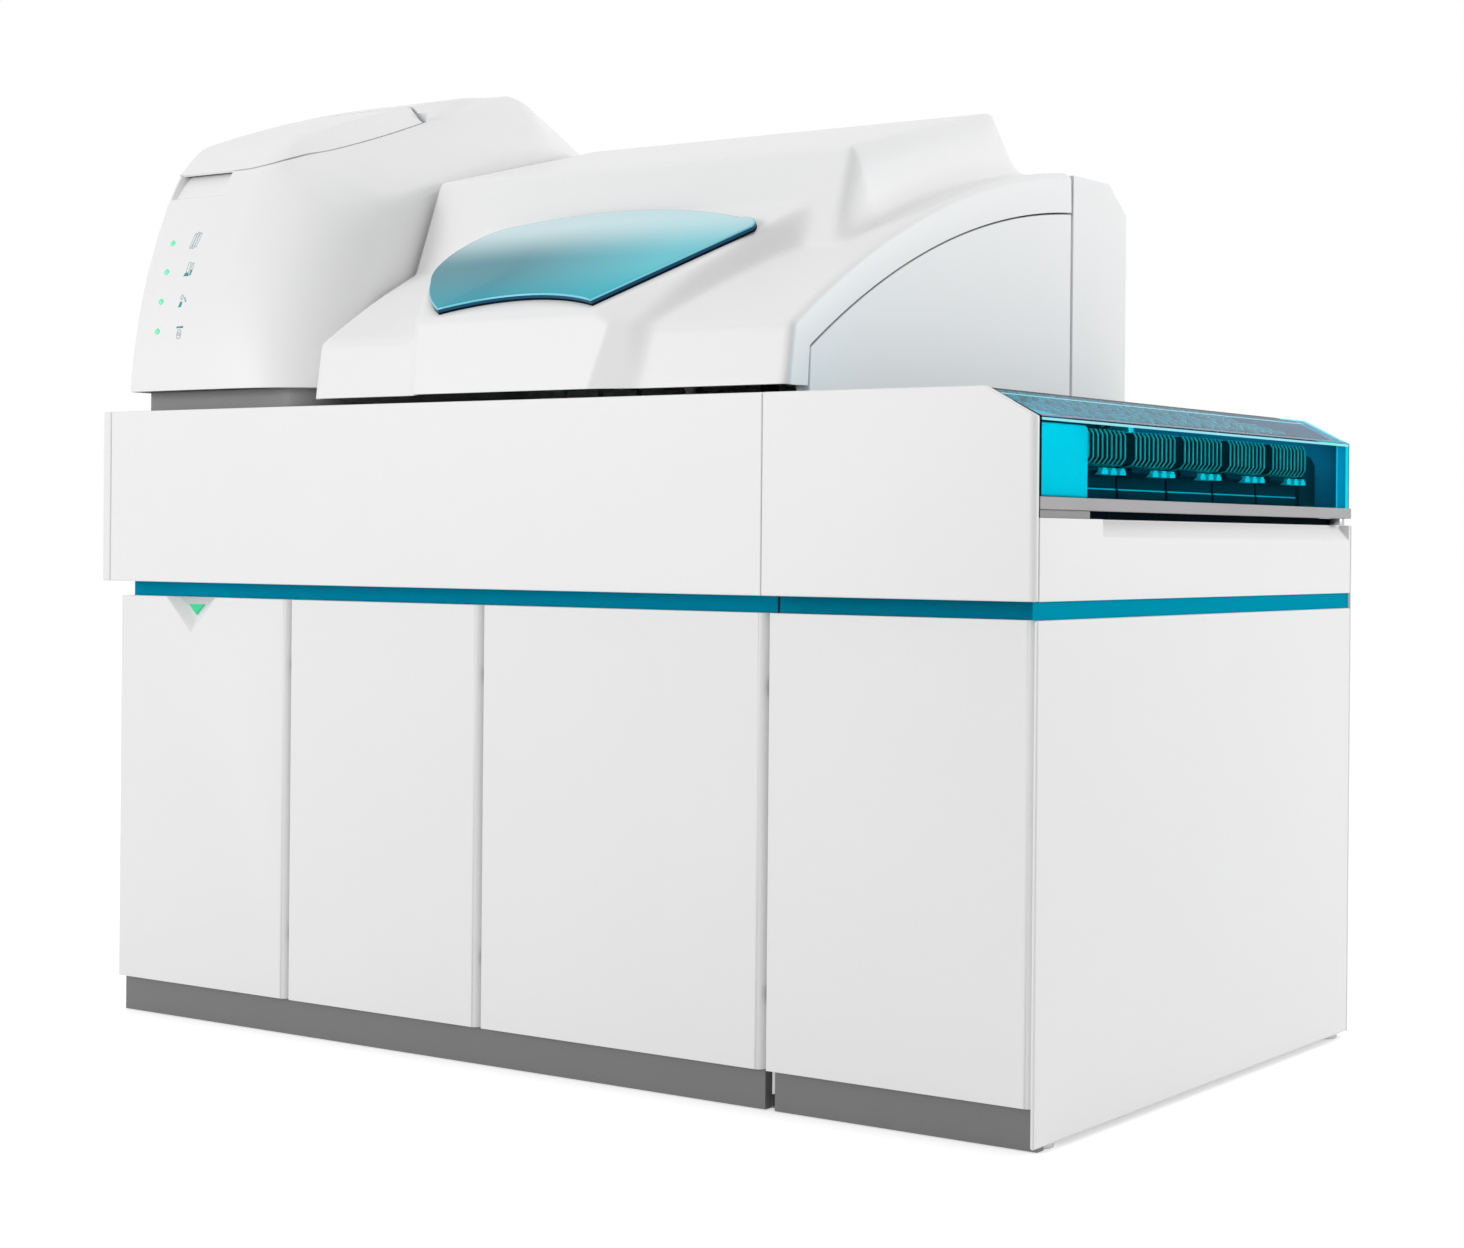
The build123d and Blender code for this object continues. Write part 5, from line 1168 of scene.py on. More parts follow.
@dataclass
class Tower(Assembly):
    """The feeder tower at the left: one soft form, cut by the lid's seam. Outlines are in millimetres."""

    left: float = -0.724
    width: float = 0.346
    lid_width: float = 0.227
    bottom: float = 0.892
    rim: float = 0.863
    front: float = -0.461
    back: float = 0.439
    nose: tuple[Flat, Flat, Flat] = ((16.0, 29.0), (35.0, 158.0), (105.0, 348.0))
    nose_back: float = -0.2
    fore: float = -0.40
    lip: Flat = (148.0, 395.0)
    roof: tuple[Flat, Flat] = ((319.0, 454.0), (543.0, 512.0))
    rear_top: float = 350.0
    setback: Easing = Easing(0.10, 6, 58.0)
    fall: Easing = Easing(0.17, 1.4, 95.0)
    ledge: Easing = Easing(0.2, 1.15, 74.0)
    crest: Easing = Easing(0.25, 2.2, 95.0)
    fold_at: float = 0.192
    fold_width: float = 0.034
    fold_drop: float = 21.0
    seam_front: float = 1.2125
    lid_rear: float = 395.0
    lid_gap: float = 0.0025
    lid_rear_gap: float = 0.006
    seam: tuple[Flat, ...] = ((176.0, 382.0), (282.0, 420.0), (395.0, 451.0))
    turn_start: float = 0.112
    turn_rise: float = 0.060
    turn_power: float = 3.0
    turn_columns: float = 0.117
    lid_hinges: Flat = (-0.669, -0.549)
    hinge_in: Flat = (4.6, 5.2)
    hinge_clear: Flat = (0.02, 0.036)
    pull_edges: Flat = (0.0085, 0.110)
    pull_foot: float = 1.1755
    pull_depth: Flat = (0.006, 0.013)
    lamp_at: tuple[Flat, ...] = ((0.0400, 1.1083), (0.0425, 1.0653), (0.0438, 1.0216), (0.0462, 0.9781))
    lamp_size: float = 0.0047
    lamp_rings: tuple[Flat, ...] = ((1.0, -0.0006), (1.0, 0.0006), (0.8, 0.0012), (0.45, 0.0016))
    mark_at: tuple[Flat, ...] = ((0.0863, 1.1097), (0.0875, 1.0660), (0.0875, 1.0202), (0.0912, 0.9745))
    edges: Flat = (0.005, 0.012)
    wall: float = 0.004
    points: int = 260
    heel_points: int = 60
    softness: int = 10
    smooth: float = 28.0
    lid_smooth: float = 32.0
    lamp_smooth: float = 50.0
    ink: float = 0.00025
    ink_depth: float = 0.0002
    stroke: float = 0.7
    spreads: tuple[np.ndarray, ...] = (
        np.concatenate([np.linspace(0, 0.86, 44), [0.874, 0.882, 0.89], np.linspace(0.905, 1, 12)]),
        np.linspace(0, 1, 60), np.array([0.0, 1.0]), np.linspace(0, 1, 60))

    def at(self, point: Flat, back: float = 0.0, sink: float = 0.0) -> Flat:
        """A point of the outline in the frame, moved back and down by some millimetres."""
        return self.front + (point[0] + back) / 1000, self.rim + (point[1] - sink) / 1000

    def profile(self, x: float, wall: float = 0.0) -> Line:
        """Side outline of the tower at one place across its width.

        Args:
            x: Distance from the left side.
            wall: How far inside the surface it lies.

        Returns:
            Points from the foot of the nose over the roof to the heel.
        """
        back, fall, ledge, crest = (ease.at(x, self.width)
                                    for ease in (self.setback, self.fall, self.ledge, self.crest))
        bend = min(max((x - self.fold_at) / self.fold_width, 0), 1)
        ledge = self.fold_drop * bend * bend * (3 - 2 * bend) + ledge
        foot, middle, top = self.nose
        line = three_point(self.at(foot, back), self.at(middle, back, fall), self.at(top, back, fall), 60)
        line += three_point(self.at(self.lip, back, (fall + ledge) / 2), self.at(self.roof[0], back * 0.5, ledge),
                            self.at(self.roof[1], 0, crest), 60)
        line += [(self.back, self.rim + (self.rear_top - crest) / 1000), (self.back, self.bottom)]
        line = resample(line, np.linspace(0.0, 1.0, self.points))
        for _ in range(self.softness):
            line = [line[0], *(((a[0] + 2 * b[0] + c[0]) / 4, (a[1] + 2 * b[1] + c[1]) / 4)
                               for a, b, c in zip(line, line[1:], line[2:])), line[-1]]
        return inset(line, wall) if wall else line

    def cuts(self, x: float, gap: float) -> list[float]:
        """Where the lid's seams cross the outline at one place, as shares of its length.

        Args:
            x: Distance from the left side.
            gap: How far the front seam is moved onto the lid.

        Returns:
            The front seam and both edges of the rear gap.
        """
        first, line = self.profile(0.0), self.profile(x)
        rising = [(z, share) for (y, z), share in zip(first, along(first)) if y < self.nose_back]
        front = float(np.interp(self.seam_front, *zip(*rising)))
        share = min(max((x + gap - self.turn_start) / (self.lid_width - self.turn_start), 0.0), 1.0)
        turn = self.turn_rise * (1 - (1 - share ** self.turn_power) ** (1 / self.turn_power))
        rear = self.front + self.lid_rear / 1000
        roof = [(y, share) for (y, z), share in zip(line, along(line)) if z > self.seam_front][:-self.heel_points]
        back = [float(np.interp(y, *zip(*roof))) for y in (rear - self.lid_rear_gap, rear)]
        return [front + turn + gap / 1.5, *back]

    def column(self, x: float, depth: float, gap: float) -> list[Line]:
        """An outline at one place as four stretches: nose, lid, rear gap and back.

        Args:
            x: Distance from the left side.
            depth: How far inside the surface it lies.
            gap: How far the front seam is moved onto the lid.

        Returns:
            The stretches.
        """
        line = self.profile(x, depth)
        bounds = [0.0, *self.cuts(x, gap), 1.0]
        return [resample(line, low + (high - low) * spread)
                for low, high, spread in zip(bounds, bounds[1:], self.spreads)]

    def columns(self, places: list[float], gap: float = 0.0) -> list[tuple[float, list[Line]]]:
        """Banded outlines across part of the width, with both ends rounded.

        Args:
            places: Distances from the left side.
            gap: How far the front seam is moved onto the lid.

        Returns:
            Pairs of X and bands.
        """
        left, right = self.edges
        spots = [(x, x, 0.0) for x in places if left <= x <= self.width - right]
        if places[0] == 0.0:
            angles = [math.pi / 2 * turn for turn in (0.0, 0.25, 0.5, 0.75)]
            spots = [(left * (1 - math.cos(a)), 0.0, left * (1 - math.sin(a))) for a in angles] + spots
        if places[-1] == self.width:
            for angle in (math.pi / 2 * turn for turn in (0.2, 0.4, 0.6, 0.8, 1.0)):
                x = self.width - right * (1 - math.sin(angle))
                spots.append((x, x, right * (1 - math.cos(angle))))
        return [(self.left + place, self.column(x, depth, gap)) for place, x, depth in spots]

    def places(self, gap: float = 0.0) -> list[float]:
        """Where the columns of the lid's width stand, close together at the pull and at the seam's turn.

        Args:
            gap: How far the lid's edge is moved onto it.

        Returns:
            Distances from the left side.
        """
        low, high = self.pull_edges
        middle = [low - 0.0015, low + 0.0015, *np.linspace(0.014, high - 0.004, 20), high, high + 0.003]
        span = self.lid_width - gap - self.turn_columns
        turn = self.turn_columns + span * (1 - (1 - np.linspace(0, 1, 48)) ** 1.6)
        return [0.0, 0.0055, *middle, *turn.tolist()]

    def sunk(self, x: float, z: float) -> float:
        """Depth of the finger pull.

        Args:
            x: Place along X.
            z: Height on the nose.

        Returns:
            The depth there.
        """
        low, high = self.pull_edges
        if not low < x - self.left < high + 0.002 or not self.pull_foot < z:
            return 0.0
        rise = (z - self.pull_foot) / (self.seam_front - self.pull_foot)
        return self.pull_depth[0] + (self.pull_depth[1] - self.pull_depth[0]) * rise

    def seam_points(self, gap: float) -> Line:
        """The seam on the left side, from the front to the rear, moved up by a gap."""
        start = (self.front + (self.nose[2][0] + 4) / 1000, self.seam_front + gap)
        return [start, *((self.front + y / 1000, self.rim + z / 1000 + gap) for y, z in self.seam)]

    def shell(self) -> None:
        """Builds the tower's fixed cover, with the finger pull sunk into it, and the lid's hinge plate."""
        mesh = bmesh.new()
        left = self.columns(self.places())
        right = self.columns(np.linspace(self.lid_width, self.width, 26).tolist())
        nose = skin(mesh, [(x, [(y + self.sunk(x, z), z) for y, z in bands[0]]) for x, bands in left])
        back = skin(mesh, [(x, bands[3]) for x, bands in left])
        whole = skin(mesh, [(x, sum((band[1:] for band in bands[1:]), bands[0])) for x, bands in right])
        seam = [mesh.verts.new((self.left, y, z)) for y, z in self.seam_points(0.0)]
        mesh.faces.new(nose[0] + seam + back[0])
        mesh.faces.new(whole[-1][::-1])
        bmesh.ops.remove_doubles(mesh, verts=mesh.verts, dist=2 * MERGE)
        bmesh.ops.recalc_face_normals(mesh, faces=mesh.faces)
        turn_out(mesh, FORWARD, self.fore)
        obj = self.shop.piece("tower_cover", mesh, COVER_WHITE)
        thicken(obj, self.wall)
        shade(obj, self.smooth)
        self.shop.settle(obj, "tower_shell")
        rear = self.front + self.lid_rear / 1000
        plate = ((self.left + 0.0045, rear, 1.274), (self.left + self.lid_width - 0.0005, rear + 0.004, 1.3275))
        self.shop.fit("lid_hinge_plate", blocks(plate), PALE, "tower_shell")

    def on_nose(self, x: float, z: float, proud: float) -> Point:
        """A point on the nose, a little proud of it."""
        line = [(pz, py) for py, pz in self.profile(x) if py < self.nose_back]
        return self.left + x, float(np.interp(z, *zip(*line))) - proud, z

    def lamps(self) -> None:
        """Sets the four lenses into the nose."""
        mesh = bmesh.new()
        for x, z in self.lamp_at:
            loops = []
            for size, proud in self.lamp_rings:
                loops.append([])
                for c, n in circle(1.0, 24):
                    reach = self.lamp_size * size / (abs(c) ** 1.25 + abs(n) ** 1.25) ** 0.8
                    loops[-1].append(mesh.verts.new(self.on_nose(x + c * reach * 1.15, z + n * reach, proud)))
            join(mesh, loops)
            mesh.faces.new(loops[-1])
            mesh.faces.new(loops[0][::-1])
        bmesh.ops.recalc_face_normals(mesh, faces=mesh.faces)
        self.shop.settle(self.shop.piece("lamp_lenses", mesh, MINT, self.lamp_smooth), "status_lamps")

    def marks(self) -> None:
        """Prints a plain pictogram beside each lamp."""
        for kind, (x, z) in zip(Mark, self.mark_at):
            lines, fills = kind.value
            strokes = [face for line in lines for face in ribbon(line, self.stroke)]
            for part, (faces, finish) in enumerate(((strokes, MARK_PALE), (fills, MARK_TEAL))):
                if not faces:
                    continue
                mesh = bmesh.new()
                for face in faces:
                    spots = [self.on_nose(x + a / 1000, z + b / 1000, self.ink) for a, b in face]
                    mesh.faces.new([mesh.verts.new(spot) for spot in spots])
                bmesh.ops.recalc_face_normals(mesh, faces=mesh.faces)
                turn_out(mesh, FORWARD)
                obj = self.shop.piece(f"mark_{kind.name.lower()}_{part}", mesh, finish)
                thicken(obj, self.ink_depth)
                self.shop.settle(obj, "tower_shell", replaces=False)

    def lid(self) -> None:
        """Builds the hinged lid with its knuckles."""
        mesh = bmesh.new()
        rows = skin(mesh, [(x, bands[1]) for x, bands in self.columns(self.places(self.lid_gap), self.lid_gap)])
        seam = self.seam_points(self.lid_gap)
        seam[-1] = (self.front + self.lid_rear / 1000 - self.lid_rear_gap, seam[-1][1])
        mesh.faces.new(rows[0][::-1] + [mesh.verts.new((self.left, y, z)) for y, z in seam])
        bmesh.ops.recalc_face_normals(mesh, faces=mesh.faces)
        turn_out(mesh, UPWARD)
        obj = self.shop.piece("tower_lid_cover", mesh, COVER_WHITE)
        thicken(obj, self.wall)
        (y0, z0), (y1, z1) = self.roof
        place = self.lid_rear - 1000 * self.lid_rear_gap - self.hinge_in[0]
        height = z0 + (place - y0) * ((z1 - z0) / (y1 - y0)) - self.hinge_in[1]
        centres = [(x, *self.at((place, height))) for x in self.lid_hinges]
        Hinge().hang(self.shop, obj, "tower_lid", "lid_knuckles", centres, self.hinge_clear, self.lid_smooth)

    def build(self) -> None:
        """Builds the tower's pieces."""
        self.shell()
        self.lid()
        self.lamps()
        self.marks()


class Repeat(Wiring):
    """A Geometry Nodes tree that sets out copies of a unit in rows of rows."""

    def __init__(self, name: str, levels: Levels, kept: float, seed: int, material: Material) -> None:
        """Wires up the tree.

        Args:
            name: Name of the tree.
            levels: Count and step of each level, the innermost first.
            kept: Share of the places that are filled.
            seed: Seed that picks the empty ones.
            material: Material of the copies.
        """
        super().__init__(bpy.data.node_groups.new(name, "GeometryNodeTree"))
        self.values: dict[str, object] = {}
        self.source = self.add("NodeGroupInput")
        copies = self.add("GeometryNodeInstanceOnPoints")
        self.take(copies, "Instance", "Unit", "NodeSocketGeometry")
        self.tree.interface.new_socket(name="Geometry", in_out="OUTPUT", socket_type="NodeSocketGeometry")
        points = None
        for k, (count, step) in enumerate(levels, 1):
            line = self.add("GeometryNodeMeshLine", mode="OFFSET")
            self.take(line, "Count", f"Count {k}", "NodeSocketInt", count)
            self.take(line, "Offset", f"Step {k}", "NodeSocketVector", step)
            if points:
                spread = self.add("GeometryNodeInstanceOnPoints", {"Points": line.outputs[0], "Instance": points})
                line = self.add("GeometryNodeRealizeInstances", {0: spread.outputs[0]})
            points = line.outputs[0]
        pick = self.add("FunctionNodeRandomValue", data_type="BOOLEAN")
        self.take(pick, "Probability", "Share filled", "NodeSocketFloat", kept)
        self.take(pick, "Seed", "Seed", "NodeSocketInt", seed)
        self.feed(copies, {"Points": points, "Selection": pick.outputs[3]})
        whole = self.add("GeometryNodeRealizeInstances", {0: copies.outputs[0]})
        paint = self.add("GeometryNodeSetMaterial", {"Geometry": whole.outputs[0]})
        self.take(paint, "Material", "Material", "NodeSocketMaterial", material)
        self.add("NodeGroupOutput", {"Geometry": paint.outputs[0]})

    def take(self, node: Node, key: str, name: str, kind: str, value: object = None) -> None:
        """Gives an input of a node a named input of the tree.

        Args:
            node: The node.
            key: Its input.
            name: Name of the tree's input.
            kind: Type of its socket.
            value: What the modifier sets it to, or none for the geometry.
        """
        socket = self.tree.interface.new_socket(name=name, in_out="INPUT", socket_type=kind)
        if value is not None:
            self.values[socket.identifier] = value
        self.feed(node, {key: self.source.outputs[name]})


@dataclass
class Setting:
    """One kind of repeated piece: where its copies stand and what it stands for."""

    name: str
    node: str
    finish: Dressing
    levels: Levels
    kept: float = 1.0
    seed: int = 7
    replaces: bool = True

    def lay(self, shop: Shop, unit: Mesh) -> None:
        """Sets out the copies as one piece.

        Args:
            shop: The shop.
            unit: The unit, at its first place.
        """
        bmesh.ops.recalc_face_normals(unit, faces=unit.faces)
        obj = shop.piece(self.name, unit, self.finish)
        material = shop.material(self.finish)
        repeat = Repeat(self.name + "_layout", self.levels, self.kept, self.seed, material)
        modifier = obj.modifiers.new("layout", "NODES")
        modifier.node_group = repeat.tree
        for key, value in repeat.values.items():
            modifier[key] = value
        bake(obj)
        shade(obj, SMOOTH_BELOW)
        shop.settle(obj, self.node, self.replaces)


@dataclass
class Loader(Assembly):
    """The sample loader at the right: tinted cover, racks in trays, bar and apron."""

    face: float = 0.7605
    eave: float = 0.828
    ridge: Flat = (0.694, 0.8615)
    inboard: float = 0.424
    front: float = -0.449
    end: float = 0.453
    end_frame: float = 0.4165
    foot: float = 0.738
    wall: float = 0.004
    block_back: float = -0.3225
    block_face: float = 0.7552
    block_top: float = 0.822
    block_round: float = 0.007
    bed_face: float = 0.716
    bed_foot: float = 0.7143
    tray_start: float = -0.307
    tray_length: float = 0.131
    tray_pitch: float = 0.136
    tray_inboard: float = 0.432
    tray_height: float = 0.030
    tray_wall: float = 0.003
    trays: int = 5
    racks: int = 5
    rack_pitch: float = 0.0237
    rack_inboard: float = 0.473
    rack_face: float = 0.711
    rack_half: float = 0.010
    rack_floor: float = 0.741
    rack_top: float = 0.791
    fin_face: float = 0.7365
    fin_foot: float = 0.778
    fin_top: float = 0.8215
    tubes: int = 10
    tube_pitch: float = 0.0226
    tube: float = 0.0065
    tube_foot: float = 0.749
    tube_top: float = 0.824
    tube_share: float = 0.9
    tube_seed: int = 11
    tube_sides: int = 14
    proud: float = 0.00025

    def __post_init__(self) -> None:
        """Works out the first rack's middle and the rows of trays, racks and tubes."""
        self.first = self.tray_start + self.tray_length / 2 - (self.racks - 1) / 2 * self.rack_pitch
        self.in_trays = ((self.trays, (0.0, self.tray_pitch, 0.0)),)
        self.in_racks = ((self.racks, (0.0, self.rack_pitch, 0.0)), *self.in_trays)
        self.in_tubes = ((self.tubes, (self.tube_pitch, 0.0, 0.0)), *self.in_racks)

    def outline(self, depth: float = 0.0) -> Line:
        """The cover's outline from its lower outer edge to its hinged edge, so far inside its surface."""
        return [(self.face - depth, self.foot), (self.face - depth, self.eave - depth * 0.5),
                (self.ridge[0] - depth * 0.25, self.ridge[1] - depth), (self.inboard, self.ridge[1] - depth)]

    def up(self, start: float, stop: float) -> Line:
        """A stretch of the cover's slope.

        Args:
            start: Where it starts, from the eave or, if less than zero, from the ridge.
            stop: Where it stops, likewise.

        Returns:
            Both ends.
        """
        (x0, z0), (x1, z1) = self.outline()[1:3]
        slope = math.dist((x0, z0), (x1, z1))
        shares = [(reach if reach > 0 else slope + reach) / slope for reach in (start, stop)]
        return [(x0 + (x1 - x0) * share, z0 + (z1 - z0) * share) for share in shares]

    def band(self, line: Line, start: float, stop: float, thick: float) -> Mesh:
        """A thin strip inside an outline, from one Y to another."""
        return prism(line + inset(line, -thick)[::-1], start, stop)

    def cover(self) -> None:
        """Rounds the tinted cover, gives its top faces a painted-light copy of the sheet and draws painted
        highlights and painted shade along its edges.
        """
        sheet = self.shop.soften("loader_cover", 0.0009, SHEET, 2, 25.0)
        sheet.data.polygons.foreach_set("use_smooth", [False] * len(sheet.data.polygons))
        # painted light: faces that look up take the top copy of the sheet
        sheet.data.materials.append(self.shop.material(SHEET_TOP_PAINTED_LIGHT))
        for face in sheet.data.polygons:
            face.material_index = int(face.normal.z > 0.3)
        out, low = self.outline(), self.outline(self.wall + 0.0003)[:3]
        x, z = out[1]
        near, far, frame_at, proud = self.front, self.end, self.end_frame, self.proud
        # bright strips are painted highlights, dark strips are painted shade along the sheet's edges and bend
        for name, finish, line, start, stop, thick in (
                ("eave_painted_highlight", SHEET_PAINTED_HIGHLIGHT, [(x + proud, z - 0.0042), (x + proud, z - 0.0012)],
                 near + 0.001, far - 0.001, 0.0004),
                ("eave_painted_shade", SHEET_PAINTED_SHADE, moved(self.up(0.001, 0.006), proud * 0.4, proud),
                 near + 0.001, far - 0.001, 0.0004),
                ("ridge_painted_highlight", SHEET_PAINTED_HIGHLIGHT, moved(self.up(-0.016, -0.0135), proud * 0.4, proud),
                 near + 0.001, frame_at, 0.0004),
                ("end_painted_highlight", SHEET_PAINTED_HIGHLIGHT, low, frame_at, frame_at + 0.004, 0.0006),
                ("end_frame", END_BLUE, low, frame_at + 0.0042, far - self.wall - 0.0002, 0.0006),
                ("end_painted_shade", SHEET_PAINTED_SHADE, moved(out[:2], proud), far - 0.0032, far - 0.0004, 0.0004),
                # painted shade: black strip along the cover's front edge where it meets the fascia
                ("front_painted_shade", SEAL_AND_PAINTED_SHADE, moved(out[:3], proud, proud), near + 0.0003, near + 0.0045, 0.0006)):
            self.shop.fit("cover_" + name, self.band(line, start, stop, thick), finish, "loader_cover", False)

    def joint_painted_shade(self) -> None:
        """A dark strip of painted shade along the joint between the fascia and the cover."""
        line = [(self.face + 0.0006, 0.7145), *moved(self.outline()[1:3], 0.0006, 0.0012),
                (0.470, self.ridge[1] + 0.0012)]
        strip = self.band(line, self.front - 0.0050, self.front - 0.0004, 0.010)
        # painted shade in the joint
        self.shop.fit("cover_joint_painted_shade", strip, SEAL_AND_PAINTED_SHADE, "loader_front_block", False)

    def block(self) -> None:
        """The white housing at the front end, stepped round the bar; round and under the bar it is painted grey, as
        painted shade.
        """
        x0, y0, y1, r = self.inboard + 0.002, self.front + 0.006, self.block_back, self.block_round
        turn = [(y1 - r + r * math.sin(math.pi / 2 * k / 5), self.block_top - r + r * math.cos(math.pi / 2 * k / 5))
                for k in range(6)]
        side = [(y0, self.foot + 0.0004), (y0, self.block_top), *turn, (y1, self.foot + 0.0004)]
        upper = prism(side, x0, self.block_face, Axis.X)
        self.shop.fit("front_block", upper, COVER_WHITE, "loader_front_block", edge=0.002)
        # painted shade: the housing round and under the bar is grey
        lower = blocks(((x0, y0, 0.7236), (0.7395, y1, self.foot + 0.0006)),
                       ((x0, y0, self.bed_foot), (0.7585, y1, 0.7232)))
        self.shop.fit("front_block_painted_shade_foot", lower, FOOT_PAINTED_SHADE, "loader_front_block")

    def tray(self) -> None:
        """The dark trays with their pale lip and their handle."""
        x0, x1, y0, y1 = self.tray_inboard, self.bed_face, self.tray_start, self.tray_start + self.tray_length
        z0, z1, wall = self.foot, self.foot + self.tray_height, self.tray_wall
        floor = z0 + wall - 0.0004
        walls = (((x0, y0), (x1, y0 + wall)), ((x0, y1 - wall), (x1, y1)),
                 ((x0, y0 + wall), (x0 + wall, y1 - wall)), ((x1 - wall, y0 + wall), (x1, y1 - wall)))
        shell = blocks(((x0, y0, z0 + 0.0002), (x1, y1, floor)),
                       *(((*low, floor), (*high, z1)) for low, high in walls),
                       ((x1, y0 + 0.0006, z0 + 0.0004), (x1 + 0.0012, y1 - 0.0006, z0 + 0.0125)))
        lip = blocks(((x1 - 0.0002, y0 + 0.002, z0 + 0.0125), (x1 + 0.0014, y1 - 0.002, z0 + 0.0140)))
        handle = prism([(x1 - 0.020, z1), (x1 + 0.012, z1 - 0.001), (x1 + 0.018, z1 + 0.004),
                        (x1 + 0.018, z1 + 0.009), (x1 - 0.020, z1 + 0.009)], y0 + 0.004, y0 + 0.052)
        for name, finish, unit in (("tray_shells", TRAY_DARK, shell), ("tray_lips", PALE, lip),
                                   ("tray_handles", TRAY_DARK, handle)):
            Setting(name, "sample_trays", finish, self.in_trays).lay(self.shop, unit)

    def fin(self, dx: float, dz: float) -> Line:
        """Outline of a rack's end fin, a little inside its edge.

        Args:
            dx: How far it is moved in across.
            dz: How far it is moved in at the foot and at the top.

        Returns:
            The outline.
        """
        x, face, foot, top = self.rack_face, self.fin_face, self.fin_foot, self.fin_top
        low = [(x + 0.003, foot + 0.001), (x + 0.008, foot), (face - 0.006, foot + 0.002)]
        high = [(face, foot + 0.010), (face, top - 0.006), (face - 0.004, top), (x + 0.003, top)]
        return moved(low, -dx, dz) + moved(high, -dx, -dz)

    def rack(self) -> None:
        """The racks: rails, posts between the tubes, end fins and feet."""
        x0, x1, floor, top, foot = self.rack_inboard, self.rack_face, self.rack_floor, self.rack_top, self.fin_foot
        near, far = self.first - self.rack_half, self.first + self.rack_half
        rails, posts = [((x0, near, floor), (x1, far, floor + 0.006))], []
        for low, high in ((near, self.first - (self.rack_half - 0.0015)),
                          (self.first + (self.rack_half - 0.0015), far)):
            rails += [((x0, low, top - 0.006), (x1, high, top)),
                      ((x0, low, floor + 0.018), (x1, high, floor + 0.021))]
            posts.append(((x0 + 0.0045, low + 0.0001, floor + 0.006), (x0 + 0.0085, high - 0.0001, top - 0.006)))
        rails += [((x0, near, floor + 0.006), (x0 + 0.004, far, top)),
                  ((x1 - 0.004, near, floor + 0.006), (x1, far, self.fin_top - 0.003))]
        web = [(x1, foot + 0.003), *self.fin(0.001, 0.001), (x1, self.fin_top - 0.001)]
        rim = self.fin(0.0, 0.0)[:-1] + self.fin(0.0012, 0.0008)[-2::-1]
        half = ((0.0045, -0.002), (0.0045, -0.0045), (0.0075, -0.0055), (0.0075, -0.010))
        y = self.first + 2 * self.rack_pitch
        shoe = [(y - w, foot + d) for w, d in half] + [(y + w, foot + d) for w, d in half[::-1]]
        fins = ((2, (0.0, self.rack_pitch / 2, 0.0)), *self.in_racks)
        for name, finish, unit, levels in (
                ("rack_rails", RACK_GREY, blocks(*rails), self.in_racks),
                ("rack_posts", PALE, blocks(*posts), self.in_tubes),
                ("rack_fin_webs", RACK_GREY, prism(web, near + 0.0012, near + 0.0012 + 0.0020), fins),
                ("rack_fins", FIN_GREY, prism(rim, near + 0.0008, near + 0.0008 + 0.0028), fins),
                ("rack_feet", FIN_WHITE, prism(shoe, x1 + 0.0005, self.fin_face - 0.001, Axis.X),
                 ((3, (0.0, self.rack_pitch, 0.0)), *self.in_trays))):
            Setting(name, "sample_racks", finish, levels).lay(self.shop, unit)

    def tube_rows(self) -> None:
        """The sample tubes with their caps, a few places left empty."""
        at = (self.rack_inboard + 0.006 + self.tube_pitch / 2, self.first)
        r, foot, cap = self.tube, self.tube_foot, self.tube_top - 0.014
        glass = [(r * 0.45, foot), (r * 0.85, foot + 0.002), (r * 0.95, foot + 0.006), (r * 0.95, cap)]
        caps = [(r, cap + 0.0002), (r, cap + 0.0115), (r * 0.86, self.tube_top)]
        for name, finish, rings in (("tube_glass", TUBE_GLASS, glass), ("tube_caps", CAP_TEAL, caps)):
            unit = bmesh.new()
            add_turned(unit, at, rings, self.tube_sides)
            rows = Setting(name, "sample_tubes", finish, self.in_tubes, self.tube_share, self.tube_seed)
            rows.lay(self.shop, unit)

    def far_end(self) -> None:
        """The liner and the sensor at the far end, a dark block of painted shade in the gap below the bar, and the
        catch under the bar.
        """
        _, eave, ridge, _ = out = self.outline(self.wall + 0.0012)
        x, z = self.tray_inboard, self.foot + 0.0004
        liner = prism([(out[0][0], self.foot + 0.0006), eave, ridge, (x, ridge[1]), (x, self.foot + 0.0006)],
                      0.4435, 0.4465)
        self.shop.fit("end_liner", liner, LINER_BLUE, "loader_bed", False)
        sensor = prism([(0.385, z), (0.385, z + 0.062), (0.398, z + 0.074), (0.420, z + 0.070), (0.436, z + 0.060),
                        (0.436, z)], 0.690, 0.7165, Axis.X)
        self.shop.fit("end_sensor", sensor, SENSOR_BLUE, "loader_bed", False, edge=0.001)
        # painted shade: a dark block that fills the gap below the bar
        liner = blocks(((0.7350, self.block_back, self.bed_foot), (0.7395, 0.4555, 0.7233)))
        self.shop.fit("bar_gap_painted_shade", liner, SEAL_AND_PAINTED_SHADE, "loader_bed", False)
        catch = blocks(((0.744, 0.424, self.bed_foot), (0.7595, 0.440, 0.7233)))
        self.shop.fit("bar_catch", catch, STEEL, "loader_apron", False, edge=0.0006, segments=2)

    def build(self) -> None:
        """Builds the loader's pieces."""
        for step in (self.cover, self.joint_painted_shade, self.block, self.tray, self.rack, self.tube_rows, self.far_end):
            step()
        self.shop.soften("cover_bar", 0.0012, BAR_GREY)
        self.shop.soften("loader_apron", 0.0015, COVER_WHITE)


